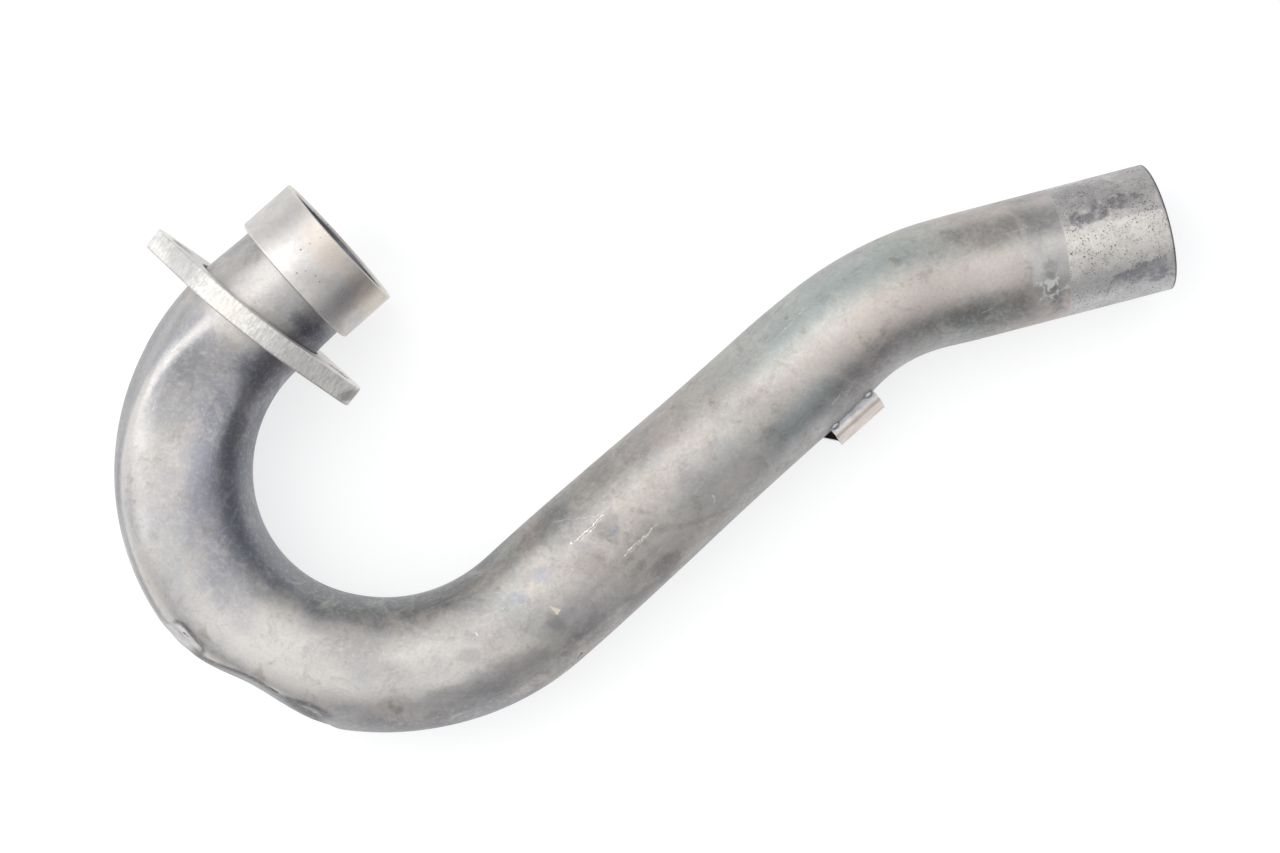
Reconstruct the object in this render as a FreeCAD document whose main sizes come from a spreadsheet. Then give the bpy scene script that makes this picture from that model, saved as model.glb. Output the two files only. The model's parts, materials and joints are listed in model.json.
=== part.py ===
import FreeCAD, Part
import math
import os
import Sketcher

os.makedirs("parts", exist_ok=True)
Vector = FreeCAD.Vector
doc = FreeCAD.newDocument("exhaust_header")

# Driving sizes, in millimetres and degrees
sheet = doc.addObject("Spreadsheet::Sheet", "Sizes")
SIZES = [
    ("tube_diameter", 44.45, "outside diameter of the tube as drawn, 1 3/4 inch"),
    ("tube_wall", 1.2, "wall of the tube all the way"),
    ("neck_diameter", 42.3, "outside of the tube where it enters the port collar"),
    ("stub_diameter", 41.5, "outside of the slip joint at the outlet"),
    ("neck_angle", 221.6, "heading of the tube as it leaves the port, from +X"),
    ("neck_length", 37.5, "straight tube from the mouth to the first bend"),
    ("entry_bend_radius", 66.1, "first third of the return bend, on the middle line"),
    ("entry_bend_angle", 59.0, "turn of the first third"),
    ("middle_bend_radius", 60.7, "middle third of the return bend"),
    ("middle_bend_angle", 60.7, "turn of the middle third"),
    ("exit_bend_radius", 71.9, "last third of the return bend"),
    ("exit_bend_angle", 60.6, "turn of the last third"),
    ("run_length", 129.6, "straight run between the return bend and the tail bend"),
    ("tail_bend_radius", 81.4, "tail bend, on the middle line"),
    ("tail_bend_angle", 27.3, "turn of the tail bend, the other way"),
    ("outlet_length", 73.0, "straight tube from the tail bend to the outlet"),
    ("neck_flare_width", 43.4, "tube where it stands in the loose flange"),
    ("entry_bend_width", 43.6, "tube across the plane of the bends, entry bend"),
    ("entry_bend_height", 41.4, "tube between its flattened top and underside there"),
    ("entry_bend_square", 2.3, "how square the pressed section is, 2 is an ellipse"),
    ("exit_bend_width", 43.5, "tube across the plane, exit bend"),
    ("run_start_width", 45.3, "tube across the plane, start of the straight run"),
    ("run_end_width", 42.8, "tube across the plane, end of the straight run"),
    ("tail_bend_width", 40.1, "tube across the plane, tail bend"),
    ("crown_place", 66.0, "middle of the pressed crown below the flange, along the tube"),
    ("crown_rise", 24.0, "length over which the crown flattens behind the flange"),
    ("crown_fall", 36.0, "length over which it turns round again"),
    ("crown_depth", 2.4, "depth of the flat on top of the tube"),
    ("crown_lean", 93.0, "direction that flat faces, from the outer side upwards"),
    ("shoulder_depth", 1.3, "depth of the flat outside the crown's ridge"),
    ("shoulder_lean", 26.0, "direction that flat faces"),
    ("dent_place", 158.0, "deepest point of the long dent, along the tube"),
    ("dent_depth", 5.2, "depth of the long dent"),
    ("dent_rise", 21.5, "length of the dent's steep side"),
    ("dent_fall", 25.0, "length of the dent's shallow side"),
    ("dent_lean", 14.0, "how far the dent faces upwards"),
    ("scuff_lean", 20.0, "how far the two small flats face upwards"),
    ("scuff_depth", 1.1, "depth of the two small flats"),
    ("first_scuff_place", 138.0, "middle of the first small flat, along the tube"),
    ("first_scuff_length", 13.0, "length of the first small flat"),
    ("second_scuff_place", 168.0, "middle of the second small flat"),
    ("second_scuff_length", 19.0, "length of the second small flat"),
    ("collar_length", 19.5, "length of the port collar"),
    ("collar_gap", 0.05, "radial gap between the tube and the collar's bore"),
    ("collar_wall", 2.85, "wall of the port collar, which makes it 48.1 across"),
    ("collar_chamfer", 1.0, "chamfer inside the mouth"),
    ("collar_round", 0.8, "round on the collar's shoulder"),
    ("tube_recess", 5.0, "end of the tube behind the mouth"),
    ("weld_leg", 2.0, "leg of the weld inside the collar"),
    ("flange_place", 36.9, "middle of the flange behind the mouth"),
    ("flange_tilt", 9.6, "tilt of the loose flange to the neck, in the plane of the bends"),
    ("flange_thickness", 7.0, "plate of the flange"),
    ("flange_half_width", 30.0, "radius of the flange round its bore"),
    ("flange_clearance", 0.3, "least radial gap between the flange and the neck"),
    ("stud_spacing", 63.0, "between the two stud holes"),
    ("stud_hole", 8.5, "stud hole, for an M8 stud"),
    ("flange_tip_radius", 9.4, "radius of the flange round a stud hole"),
    ("flange_edge", 0.5, "round along the plate's edges"),
    ("bracket_place", 11.0, "middle of the bracket before the end of the straight run"),
    ("bracket_length", 18.5, "length of the bracket along the tube"),
    ("bracket_sheet", 1.5, "sheet of the bracket"),
    ("bracket_width", 12.5, "outside width of the bracket's crown"),
    ("bracket_standoff", 3.7, "outer face of the crown above the tube"),
    ("bracket_lean", 22.0, "how far the bracket's crown faces upwards"),
    ("bracket_drop", 7.0, "shift of the bracket towards the underside, across its lean"),
    ("bracket_bend", 2.2, "outside radius of the bracket's folds"),
    ("bracket_flare", 3.4, "how far the lower leg reaches past the crown at the tube"),
    ("tack_length", 3.6, "length of a tack weld"),
    ("tack_width", 2.6, "width of a tack weld"),
    ("tack_inset", 2.0, "tack weld from the end of the bracket"),
]
for row, (alias, value, meaning) in enumerate(SIZES, start=1):
    sheet.set(f"A{row}", meaning)
    sheet.set(f"B{row}", str(value))
    sheet.setAlias(f"B{row}", alias)
doc.recompute()


def size(alias):
    return float(sheet.get(alias))


# Route of the tube: straights and tangent arcs in the plane of the bends
ROUTE = [
    (size("neck_length"), 0.0),
    (size("entry_bend_radius"), size("entry_bend_angle")),
    (size("middle_bend_radius"), size("middle_bend_angle")),
    (size("exit_bend_radius"), size("exit_bend_angle")),
    (size("run_length"), 0.0),
    (size("tail_bend_radius"), -size("tail_bend_angle")),
    (size("outlet_length"), 0.0),
]


def run_of(element):
    length, turn = element
    return length * math.radians(abs(turn)) if turn else length


MARKS = [0.0]
for element in ROUTE:
    MARKS.append(MARKS[-1] + run_of(element))
MOUTH, ENTRY_BEND, MIDDLE_BEND, EXIT_BEND, RUN, TAIL_BEND, OUTLET, END = MARKS
SLIP_JOINT = OUTLET + 0.15 * size("outlet_length")


def on_route(place):
    """Point on the middle line and its heading, at a distance from the mouth."""
    point = Vector(0, 0, 0)
    heading = math.radians(size("neck_angle"))
    left = place
    for element in ROUTE:
        last = element is ROUTE[-1]
        run = left if last else min(left, run_of(element))
        turn = math.radians(element[1])
        if turn:
            radius = element[0] * math.copysign(1.0, turn)
            after = heading + run / radius
            point = point + Vector(math.sin(after) - math.sin(heading),
                                   math.cos(heading) - math.cos(after), 0) * radius
            heading = after
        else:
            point = point + Vector(math.cos(heading), math.sin(heading), 0) * run
        left -= run
        if left <= 0:
            break
    return point, heading


# Section of the tube: width across the plane, height and squareness along the route
def drawn_height(width, diameter):
    """Height of a section pressed to a width while it keeps its girth."""
    return math.sqrt(2.0 * diameter ** 2 - width ** 2)


def section_stations():
    tube = size("tube_diameter")
    neck = size("neck_diameter")
    stub = size("stub_diameter")
    flare = size("neck_flare_width")
    tail = 0.5 * (tube + stub)
    exit_run = RUN - EXIT_BEND
    tail_run = OUTLET - TAIL_BEND
    return [
        (MOUTH, neck, neck, 2.0),
        (size("collar_length"), neck, neck, 2.0),
        (size("flange_place"), flare, flare, 2.0),
        (0.3 * ENTRY_BEND + 0.7 * MIDDLE_BEND, size("entry_bend_width"),
         size("entry_bend_height"), size("entry_bend_square")),
        (0.6 * MIDDLE_BEND + 0.4 * EXIT_BEND, size("entry_bend_width"),
         size("entry_bend_height"), size("entry_bend_square")),
        (EXIT_BEND + 0.3 * exit_run, size("exit_bend_width"),
         drawn_height(size("exit_bend_width"), tube), 2.0),
        (RUN + 0.10 * size("run_length"), size("run_start_width"),
         drawn_height(size("run_start_width"), tube), 2.0),
        (RUN + 0.70 * size("run_length"), size("run_end_width"),
         drawn_height(size("run_end_width"), tube), 2.0),
        (TAIL_BEND - 0.15 * size("run_length"), size("run_end_width"),
         drawn_height(size("run_end_width"), tube), 2.0),
        (TAIL_BEND + 0.50 * tail_run, size("tail_bend_width"),
         drawn_height(size("tail_bend_width"), tail), 2.0),
        (SLIP_JOINT, stub, stub, 2.0),
        (END, stub, stub, 2.0),
    ]


STATIONS = section_stations()


def section_at(place):
    """Half width, half height and squareness, eased from one station to the next."""
    if place <= STATIONS[0][0]:
        _, width, height, square = STATIONS[0]
        return width / 2.0, height / 2.0, square
    for before, after in zip(STATIONS, STATIONS[1:]):
        if place <= after[0]:
            share = (place - before[0]) / (after[0] - before[0])
            ease = 0.5 - 0.5 * math.cos(math.pi * share)
            width, height, square = (
                a + (b - a) * ease for a, b in zip(before[1:], after[1:]))
            return width / 2.0, height / 2.0, square
    _, width, height, square = STATIONS[-1]
    return width / 2.0, height / 2.0, square


def swell(offset, rise, fall):
    """1 in the middle of a dent, eased to 0 over its two sides."""
    side = -offset / rise if offset < 0 else offset / fall
    return 0.5 + 0.5 * math.cos(math.pi * side) if side < 1.0 else 0.0


def plateau(offset, length):
    """1 along a flat, eased to 0 over its last quarter at each end."""
    side = abs(offset) / (0.5 * length)
    if side >= 1.0:
        return 0.0
    return 1.0 if side < 0.5 else 0.5 + 0.5 * math.cos(math.pi * (side - 0.5) / 0.5)


def presses(place):
    """Each flat pressed into the tube at a place, as (lean, depth, round)."""
    crown = swell(place - size("crown_place"), size("crown_rise"), size("crown_fall"))
    return [
        (size("crown_lean"), size("crown_depth") * crown, 0.6),
        (size("shoulder_lean"), size("shoulder_depth") * crown, 0.5),
        (size("dent_lean"),
         size("dent_depth") * swell(place - size("dent_place"),
                                    size("dent_rise"), size("dent_fall")), 1.1),
        (size("scuff_lean"),
         size("scuff_depth") * plateau(place - size("first_scuff_place"),
                                       size("first_scuff_length")), 0.35),
        (size("scuff_lean"),
         size("scuff_depth") * plateau(place - size("second_scuff_place"),
                                       size("second_scuff_length")), 0.35),
    ]


SECTION_POINTS = 40
SECTION_STEP = 5.0


def section_wire(place, inset):
    """One closed section of the tube's skin, drawn in by inset, with its dents."""
    half_width, half_height, square = section_at(place)
    half_width -= inset
    half_height -= inset
    outline = []
    for index in range(SECTION_POINTS):
        angle = 2.0 * math.pi * index / SECTION_POINTS
        across, up = math.cos(angle), math.sin(angle)
        outline.append([
            half_width * math.copysign(abs(across) ** (2.0 / square), across),
            half_height * math.copysign(abs(up) ** (2.0 / square), up)])
    for lean, depth, soft in presses(place):
        if depth <= 0.0:
            continue
        out = (math.cos(math.radians(lean)), math.sin(math.radians(lean)))
        reach = max(p[0] * out[0] + p[1] * out[1] for p in outline) - depth
        blend = min(soft, depth)
        for p in outline:
            over = p[0] * out[0] + p[1] * out[1] - reach
            push = 0.97 * blend * math.log1p(math.exp(min(over / blend, 60.0)))
            push -= 0.97 * blend * math.log1p(math.exp(-4.0 * reach / blend))
            p[0] -= out[0] * push
            p[1] -= out[1] * push
    centre, heading = on_route(place)
    outward = Vector(math.sin(heading), -math.cos(heading), 0)
    points = [centre + outward * across + Vector(0, 0, up) for across, up in outline]
    curve = Part.BSplineCurve()
    curve.interpolate(Points=points, PeriodicFlag=True)
    return Part.Wire([curve.toShape()])


def places_along(first, last):
    """Section places at even steps; uneven ones would let the loft ripple."""
    count = math.ceil((last - first) / SECTION_STEP)
    return [first + (last - first) * index / count for index in range(count + 1)]


def loft(first, last, inset, capped):
    wires = [section_wire(place, inset) for place in places_along(first, last)]
    return Part.makeLoft(wires, capped, False)


# Drawn tube: spans that share their end sections, one of them under the bracket
bracket_at = TAIL_BEND - size("bracket_place")
seat_reach = 0.5 * size("bracket_length") + size("bracket_flare") + 6.0
SEAT = (bracket_at - seat_reach, bracket_at + seat_reach)
SPANS = [size("tube_recess"), size("collar_length"), *SEAT, SLIP_JOINT]


def skin(inset):
    faces = []
    for first, last in zip(SPANS, SPANS[1:]):
        faces.extend(loft(first, last, inset, False).Faces)
    return faces


def end_edge(faces, place):
    """The round edge of a skin at a place."""
    centre = on_route(place)[0]
    rounds = [edge for face in faces for edge in face.Edges if edge.isClosed()]
    return min(rounds, key=lambda edge: (edge.CenterOfMass - centre).Length)


def walled(outside, inside, ends):
    """A solid wall between two skins, closed by a flat ring at each end."""
    rings = [Part.makeFace([Part.Wire([end_edge(faces, place)]) for faces in (outside, inside)],
                           "Part::FaceMakerBullseye") for place in ends]
    wall = Part.makeShell(outside + inside + rings)
    wall.sewShape(0.001)
    solid = Part.makeSolid(wall.Shells[0])
    if solid.Volume < 0:
        solid.reverse()
    return solid


drawn_tube = doc.addObject("Part::Feature", "drawn_tube")
drawn_tube.Shape = walled(skin(0.0), skin(size("tube_wall")), (SPANS[0], SPANS[-1]))


def straight_frame(place):
    """Frame on the route: Z runs towards the outlet, X to the outer side."""
    centre, heading = on_route(place)
    along = Vector(math.cos(heading), math.sin(heading), 0)
    outward = Vector(math.sin(heading), -math.cos(heading), 0)
    return FreeCAD.Placement(centre, FreeCAD.Rotation(outward, along.cross(outward), along,
                                                      "ZXY"))


# Slip joint: the sized, straight end of the tube
def slip_cylinder(name, radius):
    cylinder = doc.addObject("Part::Cylinder", name)
    cylinder.setExpression("Radius", radius)
    cylinder.setExpression("Height", "Sizes.outlet_length * 0.85")
    cylinder.Placement = straight_frame(SLIP_JOINT)
    return cylinder


def cut(name, base, tool):
    result = doc.addObject("Part::Cut", name)
    result.Base = base
    result.Tool = tool
    return result


slip_joint = cut("slip_joint",
                 slip_cylinder("slip_outside", "Sizes.stub_diameter / 2"),
                 slip_cylinder("slip_inside", "Sizes.stub_diameter / 2 - Sizes.tube_wall"))
doc.recompute()
head_pipe = doc.addObject("Part::Feature", "head_pipe")
head_pipe.Shape = drawn_tube.Shape.fuse([slip_joint.Shape], 0.001).Solids[0]


# Sketch helpers
def plane_of(body, role):
    return next(f for f in body.Origin.OriginFeatures if f.Role == role)


def bind(sketch, index, expression):
    sketch.setExpression(f"Constraints[{index}]", expression)


def value_of(expression):
    """Value of a size expression, for a sketch's first guess."""
    cell = doc.addObject("App::FeaturePython", "guess")
    cell.addProperty("App::PropertyFloat", "number")
    cell.setExpression("number", expression)
    doc.recompute()
    number = cell.number
    doc.removeObject(cell.Name)
    return number


def polygon(body, name, role, corners):
    """A closed sketch whose corners each stand at a pair of size expressions."""
    sketch = body.newObject("Sketcher::SketchObject", name)
    sketch.AttachmentSupport = [(plane_of(body, role), "")]
    sketch.MapMode = "FlatFace"
    guess = [Vector(value_of(x), value_of(y), 0) for x, y in corners]
    count = len(corners)
    for index in range(count):
        sketch.addGeometry(Part.LineSegment(guess[index], guess[(index + 1) % count]), False)
    for index in range(count):
        after = (index + 1) % count
        sketch.addConstraint(Sketcher.Constraint("Coincident", index, 2, after, 1))
    for index, (x, y) in enumerate(corners):
        for kind, axis, text, value in (
                ("DistanceX", -2, x, guess[index].x), ("DistanceY", -1, y, guess[index].y)):
            if text == "0":
                sketch.addConstraint(Sketcher.Constraint("PointOnObject", index, 1, axis))
            else:
                at = sketch.addConstraint(Sketcher.Constraint(kind, -1, 1, index, 1, value))
                bind(sketch, at, text)
    return sketch


# Port collar: a turned ring, local Z out of the mouth, the mouth at Z = 0
collar = doc.addObject("PartDesign::Body", "port_collar")
bore = "Sizes.neck_diameter / 2 + Sizes.collar_gap"
outer = bore + " + Sizes.collar_wall"
ring = polygon(collar, "collar_profile", "XZ_Plane", [
    (bore, "-Sizes.collar_length"),
    (outer, "-Sizes.collar_length"),
    (outer, "0"),
    (bore, "0"),
])
turned = collar.newObject("PartDesign::Revolution", "collar_turned")
turned.Profile = ring
turned.ReferenceAxis = (ring, ["V_Axis"])
turned.Angle = 360.0
doc.recompute()


def edges_where(shape, test):
    return [f"Edge{i}" for i, edge in enumerate(shape.Edges, start=1) if test(edge)]


def is_circle(edge, radius, height):
    return (isinstance(edge.Curve, Part.Circle)
            and abs(edge.Curve.Radius - radius) < 1e-4
            and abs(edge.Curve.Center.z - height) < 1e-4)


collar_bore = size("neck_diameter") / 2 + size("collar_gap")
mouth_edge = edges_where(turned.Shape, lambda e: is_circle(e, collar_bore, 0.0))
mouth_chamfer = collar.newObject("PartDesign::Chamfer", "mouth_chamfer")
mouth_chamfer.Base = (turned, mouth_edge)
mouth_chamfer.setExpression("Size", "Sizes.collar_chamfer")
doc.recompute()
shoulder_edge = edges_where(mouth_chamfer.Shape, lambda e: is_circle(
    e, collar_bore + size("collar_wall"), -size("collar_length")))
shoulder = collar.newObject("PartDesign::Fillet", "shoulder_round")
shoulder.Base = (mouth_chamfer, shoulder_edge)
shoulder.setExpression("Radius", "Sizes.collar_round")
doc.recompute()

# Weld inside the collar: a ring on the end of the tube, up the collar's bore
weld = doc.addObject("PartDesign::Body", "collar_weld")
bead = polygon(weld, "weld_profile", "XZ_Plane", [
    ("Sizes.neck_diameter / 2 - Sizes.tube_wall * 0.8", "-Sizes.tube_recess"),
    (bore, "-Sizes.tube_recess"),
    (bore, "-Sizes.tube_recess + Sizes.weld_leg"),
    ("Sizes.neck_diameter / 2 - Sizes.tube_wall * 0.3", "-Sizes.tube_recess + Sizes.weld_leg * 0.7"),
])
beaded = weld.newObject("PartDesign::Revolution", "weld_turned")
beaded.Profile = bead
beaded.ReferenceAxis = (bead, ["V_Axis"])
beaded.Angle = 360.0

# Stud flange: an oval plate, local Z towards the port, its middle plane at Z = 0
flange = doc.addObject("PartDesign::Body", "stud_flange")
plate = flange.newObject("Sketcher::SketchObject", "flange_outline")
plate.AttachmentSupport = [(plane_of(flange, "XY_Plane"), "")]
plate.MapMode = "FlatFace"
big = size("flange_half_width")
tip = size("flange_tip_radius")
reach = size("stud_spacing") / 2.0
slope = math.asin((big - tip) / reach)
normal = math.pi / 2.0 - slope
X, Y, Z = Vector(1, 0, 0), Vector(0, 1, 0), Vector(0, 0, 1)


def arc(centre, radius, first, last):
    return Part.ArcOfCircle(Part.Circle(centre, Z, radius), first, last)


def rim(centre, radius, angle):
    return centre + Vector(math.cos(angle), math.sin(angle), 0) * radius


O, R, L = Vector(0, 0, 0), X * reach, X * -reach
plate.addGeometry([
    arc(R, tip, -normal, normal),
    Part.LineSegment(rim(R, tip, normal), rim(O, big, normal)),
    arc(O, big, normal, math.pi - normal),
    Part.LineSegment(rim(O, big, math.pi - normal), rim(L, tip, math.pi - normal)),
    arc(L, tip, math.pi - normal, math.pi + normal),
    Part.LineSegment(rim(L, tip, math.pi + normal), rim(O, big, math.pi + normal)),
    arc(O, big, math.pi + normal, 2.0 * math.pi - normal),
    Part.LineSegment(rim(O, big, -normal), rim(R, tip, -normal)),
], False)
plate.addConstraint([
    Sketcher.Constraint("Tangent", 0, 2, 1, 1),
    Sketcher.Constraint("Tangent", 1, 2, 2, 1),
    Sketcher.Constraint("Tangent", 2, 2, 3, 1),
    Sketcher.Constraint("Tangent", 3, 2, 4, 1),
    Sketcher.Constraint("Tangent", 4, 2, 5, 1),
    Sketcher.Constraint("Tangent", 5, 2, 6, 1),
    Sketcher.Constraint("Tangent", 6, 2, 7, 1),
    Sketcher.Constraint("Tangent", 7, 2, 0, 1),
    Sketcher.Constraint("Coincident", 2, 3, -1, 1),
    Sketcher.Constraint("Coincident", 6, 3, -1, 1),
    Sketcher.Constraint("PointOnObject", 0, 3, -1),
    Sketcher.Constraint("PointOnObject", 4, 3, -1),
    Sketcher.Constraint("Equal", 2, 6),
    Sketcher.Constraint("Equal", 0, 4),
])
for constraint, expression in (
        (Sketcher.Constraint("Radius", 2, big), "Sizes.flange_half_width"),
        (Sketcher.Constraint("Radius", 0, tip), "Sizes.flange_tip_radius"),
        (Sketcher.Constraint("DistanceX", -1, 1, 0, 3, reach), "Sizes.stud_spacing / 2"),
        (Sketcher.Constraint("DistanceX", 4, 3, -1, 1, reach), "Sizes.stud_spacing / 2")):
    bind(plate, plate.addConstraint(constraint), expression)
stamped = flange.newObject("PartDesign::Pad", "flange_plate")
stamped.Profile = plate
stamped.SideType = 2
stamped.setExpression("Length", "Sizes.flange_thickness")
doc.recompute()


def circles(body, name, rounds):
    """A sketch of circles, each at an X expression with a diameter expression."""
    sketch = body.newObject("Sketcher::SketchObject", name)
    sketch.AttachmentSupport = [(plane_of(body, "XY_Plane"), "")]
    sketch.MapMode = "FlatFace"
    for index, (x, diameter) in enumerate(rounds):
        centre, across = value_of(x), value_of(diameter)
        sketch.addGeometry(Part.Circle(X * centre, Z, across / 2.0), False)
        if x == "0":
            sketch.addConstraint(Sketcher.Constraint("Coincident", index, 3, -1, 1))
        else:
            sketch.addConstraint(Sketcher.Constraint("PointOnObject", index, 3, -1))
            at = sketch.addConstraint(
                Sketcher.Constraint("DistanceX", -1, 1, index, 3, centre))
            bind(sketch, at, x)
        at = sketch.addConstraint(Sketcher.Constraint("Diameter", index, across))
        bind(sketch, at, diameter)
    return sketch


# The bore clears the neck all round, although the loose plate stands tilted on it
flange_bore = ("2 * (Sizes.neck_flare_width / 2 / cos(Sizes.flange_tilt * 1deg)"
               " + Sizes.flange_thickness / 2 * tan(Sizes.flange_tilt * 1deg)"
               " + Sizes.flange_clearance)")
for name, rounds in (
        ("flange_bore", [("0", flange_bore)]),
        ("stud_holes", [("Sizes.stud_spacing / 2", "Sizes.stud_hole"),
                        ("-Sizes.stud_spacing / 2", "Sizes.stud_hole")])):
    hole = flange.newObject("PartDesign::Pocket", name)
    hole.Profile = circles(flange, name + "_sketch", rounds)
    hole.Type = 1
    hole.SideType = 2
    doc.recompute()
half = size("flange_thickness") / 2.0


def on_outline(edge):
    middle = edge.valueAt(0.5 * (edge.FirstParameter + edge.LastParameter))
    level = abs(abs(edge.BoundBox.ZMin) - half) < 1e-4 and edge.BoundBox.ZLength < 1e-4
    hole = isinstance(edge.Curve, Part.Circle) and len(edge.Vertexes) == 1
    return level and not hole and middle.Length > 20.0


rounded = flange.newObject("PartDesign::Fillet", "flange_edges")
rounded.Base = (hole, edges_where(hole.Shape, on_outline))
rounded.setExpression("Radius", "Sizes.flange_edge")
doc.recompute()

# Bracket: a folded channel, local X out of the tube, local Y along it
bracket = doc.addObject("PartDesign::Body", "bracket_sheet")
tube_side = "(Sizes.run_end_width / 2)"
crown = f"{tube_side} + Sizes.bracket_standoff"
top = "Sizes.bracket_width / 2 - Sizes.bracket_drop"
under = "(-Sizes.bracket_width / 2 - Sizes.bracket_drop)"
channel = polygon(bracket, "channel_profile", "XZ_Plane", [
    (f"{tube_side} * 0.8", top),
    (crown, top),
    (crown, under),
    (f"{tube_side} * 0.8", under),
    (f"{tube_side} * 0.8", f"{under} + Sizes.bracket_sheet"),
    (f"{crown} - Sizes.bracket_sheet", f"{under} + Sizes.bracket_sheet"),
    (f"{crown} - Sizes.bracket_sheet", f"{top} - Sizes.bracket_sheet"),
    (f"{tube_side} * 0.8", f"{top} - Sizes.bracket_sheet"),
])
folded = bracket.newObject("PartDesign::Pad", "channel")
folded.Profile = channel
folded.SideType = 2
folded.setExpression("Length", "Sizes.bracket_length")
doc.recompute()
crown_x = size("run_end_width") / 2.0 + size("bracket_standoff")


def fold(radius_side):
    """Edges of the two folds, outside or inside."""
    x = crown_x - (0.0 if radius_side == "outside" else size("bracket_sheet"))
    return edges_where(folded.Shape if radius_side == "outside" else outside_fold.Shape,
                       lambda e: abs(e.BoundBox.XMin - x) < 1e-4
                       and e.BoundBox.XLength < 1e-4
                       and e.BoundBox.ZLength < 1e-4
                       and e.BoundBox.YLength > 0.9 * size("bracket_length"))


outside_fold = bracket.newObject("PartDesign::Fillet", "outside_folds")
outside_fold.Base = (folded, fold("outside"))
outside_fold.setExpression("Radius", "Sizes.bracket_bend")
doc.recompute()
inside_fold = bracket.newObject("PartDesign::Fillet", "inside_folds")
inside_fold.Base = (outside_fold, fold("inside"))
inside_fold.setExpression("Radius", "Sizes.bracket_bend - Sizes.bracket_sheet")
doc.recompute()
gusset_sketch = polygon(bracket, "gusset_outline", "XY_Plane", [
    (f"{tube_side} * 0.8", "-Sizes.bracket_length / 2 - Sizes.bracket_flare"),
    (f"{tube_side} * 0.84", "-Sizes.bracket_length / 2 - Sizes.bracket_flare"),
    (f"{crown} - Sizes.bracket_bend", "-Sizes.bracket_length / 2"),
    (f"{crown} - Sizes.bracket_bend", "-Sizes.bracket_length / 2 + Sizes.bracket_sheet"),
    (f"{tube_side} * 0.8", "-Sizes.bracket_length / 2 + Sizes.bracket_sheet"),
])
gusset_sketch.AttachmentOffset = FreeCAD.Placement(Vector(0, 0, value_of(under)),
                                                   FreeCAD.Rotation())
gusset_sketch.setExpression("AttachmentOffset.Base.z", under)
gusset = bracket.newObject("PartDesign::Pad", "lower_leg_flare")
gusset.Profile = gusset_sketch
gusset.setExpression("Length", "Sizes.bracket_sheet")
doc.recompute()


def at_route(place, lean, out=0.0):
    """Frame on the tube: X leans up from the outer side, Y runs towards the outlet."""
    centre, heading = on_route(place)
    outward = Vector(math.sin(heading), -math.cos(heading), 0)
    along = Vector(math.cos(heading), math.sin(heading), 0)
    tilt = math.radians(lean)
    x = outward * math.cos(tilt) + Z * math.sin(tilt)
    z = x.cross(along)
    rotation = FreeCAD.Rotation(x, along, z, "XYZ")
    return FreeCAD.Placement(centre + x * out, rotation)


bracket.Placement = at_route(bracket_at, size("bracket_lean"))

# The stretch of tube that the bracket and its welds are fitted to
seat = doc.addObject("Part::Feature", "tube_at_bracket")
seat.Shape = loft(*SEAT, 0.0, True)


# Tack welds: four small domes where the bracket's legs end on the tube
def tack(name, end, across):
    """A dome at one end of one leg, centred where the leg's face meets the tube."""
    place = bracket_at + end * (size("bracket_length") / 2.0 - size("tack_inset"))
    half_width, half_height, _ = section_at(place)
    lean = math.radians(size("bracket_lean"))
    low, high = 0.5 * half_width, 1.2 * half_width
    for _ in range(40):
        out = 0.5 * (low + high)
        u = out * math.cos(lean) - across * math.sin(lean)
        v = out * math.sin(lean) + across * math.cos(lean)
        if (u / half_width) ** 2 + (v / half_height) ** 2 > 1.0:
            high = out
        else:
            low = out
    dome = doc.addObject("Part::Ellipsoid", name)
    dome.setExpression("Radius1", "Sizes.tack_width / 2")
    dome.setExpression("Radius2", "Sizes.tack_width / 2")
    dome.setExpression("Radius3", "Sizes.tack_length / 2")
    frame = at_route(place, size("bracket_lean"))
    dome.Placement = FreeCAD.Placement(frame.multVec(Vector(out, 0, across)), frame.Rotation)
    return dome


domes = doc.addObject("Part::Compound", "tack_domes")
domes.Links = [
    tack("upper_tack_left", -1.0, value_of(top)),
    tack("upper_tack_right", 1.0, value_of(top)),
    tack("lower_tack_left", -1.0, value_of(under)),
    tack("lower_tack_right", 1.0, value_of(under)),
]


# Places of the collar, the weld and the loose flange on the neck
def facing(place, tilt):
    """Frame on the neck: Z towards the port, X across it in the plane."""
    centre, heading = on_route(place)
    back = heading + math.pi + math.radians(tilt)
    z = Vector(math.cos(back), math.sin(back), 0)
    x = Vector(math.sin(back), -math.cos(back), 0)
    return FreeCAD.Placement(centre, FreeCAD.Rotation(x, z.cross(x), z, "ZXY"))


collar.Placement = facing(0.0, 0.0)
weld.Placement = facing(0.0, 0.0)
flange.Placement = facing(size("flange_place"), size("flange_tilt"))
doc.recompute()


# The header lies on its lowest three points, under its centre of weight
def plane_under(feet):
    """Upward normal of the plane through three feet."""
    normal = (feet[1] - feet[0]).cross(feet[2] - feet[0])
    normal.normalize()
    return normal if normal.z > 0 else normal * -1.0


def encloses(feet, centre):
    turns = [(b.x - a.x) * (centre.y - a.y) - (b.y - a.y) * (centre.x - a.x)
             for a, b in zip(feet, feet[1:] + feet[:1])]
    return all(turn > 0 for turn in turns) or all(turn < 0 for turn in turns)


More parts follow.
